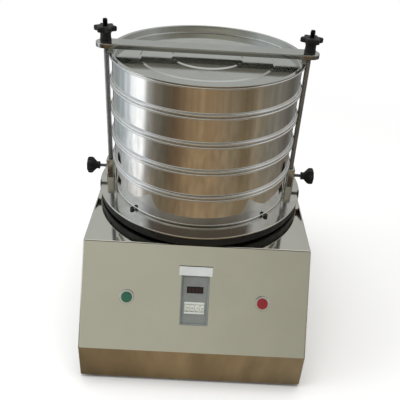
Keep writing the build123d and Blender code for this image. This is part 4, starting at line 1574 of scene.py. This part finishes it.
    def build(self) -> None:
        """Builds and dresses the panel's pieces."""
        grey = Moulding(
            "timer_grey_plastic",
            shade(128, 133, 130),
            shade(118, 121, 119),
            0.4,
            0.15,
            1500.0,
            0.00004,
            0.3,
        ).material()
        body = fair_copy("timer_body", "timer_body_moulded")
        hand_over(body, "base", "timer_plastic", "timer_body")
        dress([body, node("timer_face")], grey)
        foil = fair_copy("label_strip", "label_strip_plain")
        hand_over(foil, "base", "label_plastic", "label_strip")
        dress(
            [foil],
            Moulding(
                "plain_label_foil",
                shade(212, 215, 214),
                shade(200, 204, 203),
                0.45,
                0.1,
                900.0,
                0.00002,
                0.2,
            ).material(),
        )
        window = fair_copy("timer_window", "timer_window_tinted")
        hand_over(window, "base", "window_plastic", "timer_window")
        dress(
            [window],
            Moulding(
                "dark_red_window",
                shade(36, 25, 25),
                shade(30, 20, 20),
                0.12,
                0.05,
                300.0,
                0.00001,
                0.1,
                specular=0.3,
            ).material(),
        )
        display = self.display()
        hand_over(display, "base", "window_plastic")
        dress(
            [display], Moulding("unlit_segments", shade(60, 36, 34), shade(54, 32, 30), 0.3, 0.1).material()
        )
        rim = self.wheel_frame()
        hand_over(rim, "base", "wheel_plastic")
        dress(
            [rim],
            Moulding("pale_wheel_frame", shade(206, 210, 204), shade(194, 198, 192), 0.4, 0.1).material(),
        )
        self.wheels()
        chrome = Steel("chrome_ring", shade(222, 222, 222), shade(200, 200, 200), 0.08, 0.05).material()
        green = Moulding(
            "green_cap_plastic", shade(24, 92, 70), shade(18, 80, 60), 0.22, 0.1, 1200.0, 0.00002, 0.2, 0.4
        ).material()
        red = Moulding(
            "red_cap_plastic", shade(140, 22, 34), shade(122, 16, 28), 0.22, 0.1, 1200.0, 0.00002, 0.2, 0.4
        ).material()
        for button, colour, slot in (("start", green, "green_plastic"), ("stop", red, "red_plastic")):
            ring = fair_copy(f"{button}_bezel", f"{button}_bezel_chromed")
            hand_over(ring, "base", "polished_steel", f"{button}_bezel")
            dress([ring], chrome)
            cap = fair_copy(f"{button}_button", f"{button}_cap_moulded")
            hand_over(cap, f"{button}_cap", slot, f"{button}_button")
            dress([cap], colour)


@dataclass(frozen=True)
class Softbox:
    """A soft square lamp that polished steel doesn't mirror; its power is in watts."""

    name: str
    place: tuple[float, float, float]
    target: tuple[float, float, float]
    size: float
    power: float

    def hang(self) -> None:
        """Adds the lamp."""
        data = bpy.data.lights.new(self.name, "AREA")
        data.size = self.size
        data.energy = self.power
        lamp = bpy.data.objects.new(self.name, data)
        bpy.context.scene.collection.objects.link(lamp)
        aim = (Vector(self.target) - Vector(self.place)).to_track_quat("-Z", "Y")
        lamp.matrix_world = Matrix.Translation(self.place) @ aim.to_matrix().to_4x4()
        lamp.visible_glossy = False


@dataclass
class Studio:
    """Floor, room light, lamps and the camera at the photograph's angle."""

    camera_place: tuple[float, float, float] = (-0.0109, -0.8057, 0.7271)
    yaw: float = math.radians(0.893)
    pitch: float = math.radians(32.55)
    roll: float = math.radians(3.543)
    focal: float = 48.11
    sensor: float = 36.0
    floor_size: float = 60.0
    card_radius: float = 24.0
    card_lift: float = 0.0006
    clear_from: float = 0.45
    clear_to: float = 1.3
    near_from: float = 0.46
    near_to: float = 0.78
    floor_tone: Colour = (0.93, 0.93, 0.93)
    near_tone: Colour = shade(136, 118, 92)
    far_from: float = 1.8
    far_to: float = 6.0
    far_tone: Colour = shade(214, 214, 211)
    ceiling: Colour = (0.84, 0.845, 0.84)
    beam: Colour = (0.12, 0.095, 0.075)
    ceiling_rise: tuple[float, float] = (0.62, 0.86)
    beam_rise: tuple[float, float] = (0.50, 0.58)
    beam_front: tuple[float, float] = (-0.30, -0.08)
    dullness: float = 0.9
    lamps: tuple[Softbox, ...] = (
        Softbox("overhead_softbox", (0.0, 0.0, 2.6), (0, 0, 0.2), 2.2, 46.0),
        Softbox("left_window_light", (-2.2, -0.5, 1.3), (0, 0, 0.25), 1.4, 21.0),
    )

    def camera(self) -> None:
        """Sets the camera."""
        ahead = math.cos(self.pitch)
        forward = Vector((math.sin(self.yaw) * ahead, math.cos(self.yaw) * ahead, -math.sin(self.pitch)))
        level = Vector((math.cos(self.yaw), -math.sin(self.yaw), 0))
        above = level.cross(forward)
        right = math.cos(self.roll) * level + math.sin(self.roll) * above
        up = math.cos(self.roll) * above - math.sin(self.roll) * level
        data = bpy.data.cameras.new("photo_camera")
        data.lens = self.focal
        data.sensor_width = self.sensor
        camera = bpy.data.objects.new("photo_camera", data)
        bpy.context.scene.collection.objects.link(camera)
        turn = Matrix((right, up, -forward)).transposed().to_4x4()
        camera.matrix_world = Matrix.Translation(self.camera_place) @ turn
        bpy.context.scene.camera = camera

    def floor(self) -> None:
        """Lays the pale floor."""
        idle()
        bpy.ops.mesh.primitive_plane_add(size=self.floor_size)
        floor = start("floor")
        bpy.ops.mesh.subdivide(number_cuts=3)
        bpy.ops.object.mode_set(mode="OBJECT")
        bench = Bench(bpy.data.materials.new("pale_floor"))
        cloud = bench.noise(bench.place(), 3.0, 4.0)
        shadowed = tuple(0.98 * part for part in self.floor_tone)
        bench.feed(bench.blend(cloud, self.floor_tone, shadowed), "Base Color")
        bench.set("Roughness", self.dullness)
        bench.set("Specular IOR Level", 0.1)
        path = bench.add("ShaderNodeLightPath").outputs
        seen = bench.sum(
            bench.sum(path["Is Camera Ray"], path["Is Glossy Ray"]), path["Is Transmission Ray"]
        )
        away = bench.spread(bench.length(bench.place()), 0.0, 1.0, self.clear_from, self.clear_to)
        white = bench.add("ShaderNodeEmission")
        white.inputs["Color"].default_value = (1, 1, 1, 1)
        mixed = bench.add("ShaderNodeMixShader")
        bench.join(bench.sum(seen, away, "MULTIPLY"), mixed.inputs[0])
        bench.join(bench.shader.outputs["BSDF"], mixed.inputs[1])
        bench.join(white.outputs["Emission"], mixed.inputs[2])
        bench.join(mixed.outputs["Shader"], bench.tree.nodes["Material Output"].inputs["Surface"])
        dress([floor], bench.material)

    def room_ramp(self, bench: Bench, turn: Socket, stops: Sequence[tuple[float, Colour]]) -> Socket:
        """Colours that change with the direction round the Z axis.

        Args:
            bench: The material being made.
            turn: The direction, 0 to 1 in a turn.
            stops: Bearing in degrees from the front, positive to the right, and colour.

        Returns:
            The colour.
        """
        ramp = bench.add("ShaderNodeValToRGB")
        rising = sorted((((bearing / 360 + 0.25) % 1.0), colour) for bearing, colour in stops)
        first, last = rising[0], rising[-1]
        gap = first[0] + 1 - last[0]
        share = (1 - last[0]) / gap
        edge = tuple(a + (b - a) * share for a, b in zip(last[1], first[1]))
        rising = [(0.0, edge), *rising, (1.0, edge)]
        elements = ramp.color_ramp.elements
        while len(elements) < len(rising):
            elements.new(0.5)
        for element, (position, colour) in zip(elements, rising):
            element.position = position
            element.color = (*colour, 1)
        bench.join(turn, ramp.inputs["Fac"])
        return ramp.outputs["Color"]

    def bearing(self, bench: Bench, vector: Socket) -> Socket:
        """The direction round the Z axis as 0 to 1."""
        turn = bench.add("ShaderNodeTexGradient", gradient_type="RADIAL")
        bench.join(vector, turn.inputs["Vector"])
        return turn.outputs["Fac"]

    def world(self) -> None:
        """Makes the soft room: grey walls, a dark beam at the front, a pale ceiling, a bright left side."""
        world = bpy.data.worlds.new("soft_room")
        bpy.context.scene.world = world
        bench = Bench(world)
        source = bench.add("ShaderNodeTexCoord").outputs["Generated"]
        stops = [
            (-140, (0.60, 0.62, 0.61)),
            (-105, (0.86, 0.90, 0.95)),
            (-72, (0.84, 0.88, 0.94)),
            (-50, (0.56, 0.56, 0.52)),
            (-24, (0.60, 0.59, 0.51)),
            (0, (0.54, 0.53, 0.45)),
            (22, (0.40, 0.39, 0.33)),
            (50, (0.42, 0.41, 0.37)),
            (75, (0.66, 0.67, 0.68)),
            (105, (0.62, 0.61, 0.59)),
            (150, (0.52, 0.52, 0.51)),
            (180, (0.56, 0.57, 0.555)),
        ]
        walls = self.room_ramp(bench, self.bearing(bench, source), stops)
        high = bench.part(source, "Z")
        raised = bench.spread(high, 0.0, 1.0, *self.beam_rise)
        beam = bench.sum(
            raised, bench.spread(bench.part(source, "Y"), 1.0, 0.0, *self.beam_front), "MULTIPLY"
        )
        mixed = bench.over(walls, self.ceiling, bench.spread(high, 0.0, 1.0, *self.ceiling_rise))
        mixed = bench.over(mixed, self.beam, beam)
        background = bench.tree.nodes["Background"]
        bench.join(mixed, background.inputs["Color"])
        background.inputs["Strength"].default_value = 1.0

    def reflection_card(self, centre: Vector) -> None:
        """Lays the room's floor tones round the machine, for the polished steel to reflect.

        Args:
            centre: The stack's axis.
        """
        idle()
        middle = (centre.x, centre.y, self.card_lift)
        radius = self.card_radius
        bpy.ops.mesh.primitive_circle_add(vertices=96, radius=radius, fill_type="NGON", location=middle)
        card = start("room_floor_card")
        bpy.ops.mesh.inset(thickness=0.5 * radius)
        bpy.ops.object.mode_set(mode="OBJECT")
        bench = Bench(bpy.data.materials.new("room_floor_tones"))
        stops = [
            (-150, shade(150, 154, 156)),
            (-130, shade(140, 145, 148)),
            (-112, shade(160, 168, 172)),
            (-98, shade(200, 206, 212)),
            (-84, shade(252, 254, 255)),
            (-74, shade(248, 250, 252)),
            (-68, shade(150, 148, 146)),
            (-58, shade(104, 98, 88)),
            (-46, shade(82, 76, 62)),
            (-34, shade(86, 68, 48)),
            (-24, shade(112, 90, 64)),
            (-16, shade(138, 114, 84)),
            (-3, shade(146, 122, 90)),
            (11, shade(140, 116, 86)),
            (24, shade(136, 118, 92)),
            (35, shade(126, 112, 90)),
            (46, shade(110, 93, 66)),
            (54, shade(112, 98, 76)),
            (62, shade(140, 126, 104)),
            (72, shade(126, 118, 102)),
            (82, shade(122, 116, 104)),
            (93, shade(128, 122, 112)),
            (118, shade(92, 88, 82)),
            (135, shade(106, 103, 98)),
            (150, shade(138, 136, 132)),
        ]
        place = bench.place()
        turn = self.bearing(bench, place)
        tones = self.room_ramp(bench, turn, stops)
        reach = bench.length(place)
        streak = bench.add("ShaderNodeCombineXYZ")
        bench.join(bench.spread(turn, 0.0, 60.0, 0.0, 1.0), streak.inputs["X"])
        bench.join(bench.spread(reach, 0.0, 9.0, 0.0, 1.0), streak.inputs["Y"])
        grain = bench.noise(streak.outputs["Vector"], 1.0, 3.0)
        level = bench.spread(grain, 0.8, 1.2, 0.3, 0.7)
        tones = bench.over(
            tones, self.near_tone, bench.spread(reach, 0.5, 0.0, self.near_from, self.near_to)
        )
        tones = bench.over(tones, self.far_tone, bench.spread(reach, 0.0, 1.0, self.far_from, self.far_to))
        scaled = bench.add("ShaderNodeVectorMath", operation="SCALE")
        bench.join(tones, scaled.inputs[0])
        bench.join(level, scaled.inputs["Scale"])
        bench.feed(scaled.outputs["Vector"], "Base Color")
        bench.set("Roughness", self.dullness)
        dress([card], bench.material)
        card.visible_camera = False
        card.visible_diffuse = False
        card.visible_shadow = False

    def build(self, stack: SieveStack) -> None:
        """Builds the studio.

        Args:
            stack: The stack, whose axis is the middle of the room.
        """
        bpy.context.scene.view_settings.view_transform = "Standard"
        self.camera()
        self.floor()
        self.world()
        self.reflection_card(stack.axis)
        for lamp in self.lamps:
            lamp.hang()


def main() -> None:
    """Builds the machine and the studio, in the order of assembly."""
    logging.basicConfig(level=logging.INFO, format="%(message)s")
    stack = SieveStack()
    Studio().build(stack)
    Housing().build()
    ControlPanel().build()
    Deck().build(stack)
    stack.build()
    Clamp().build()


if __name__ == "__main__":
    main()
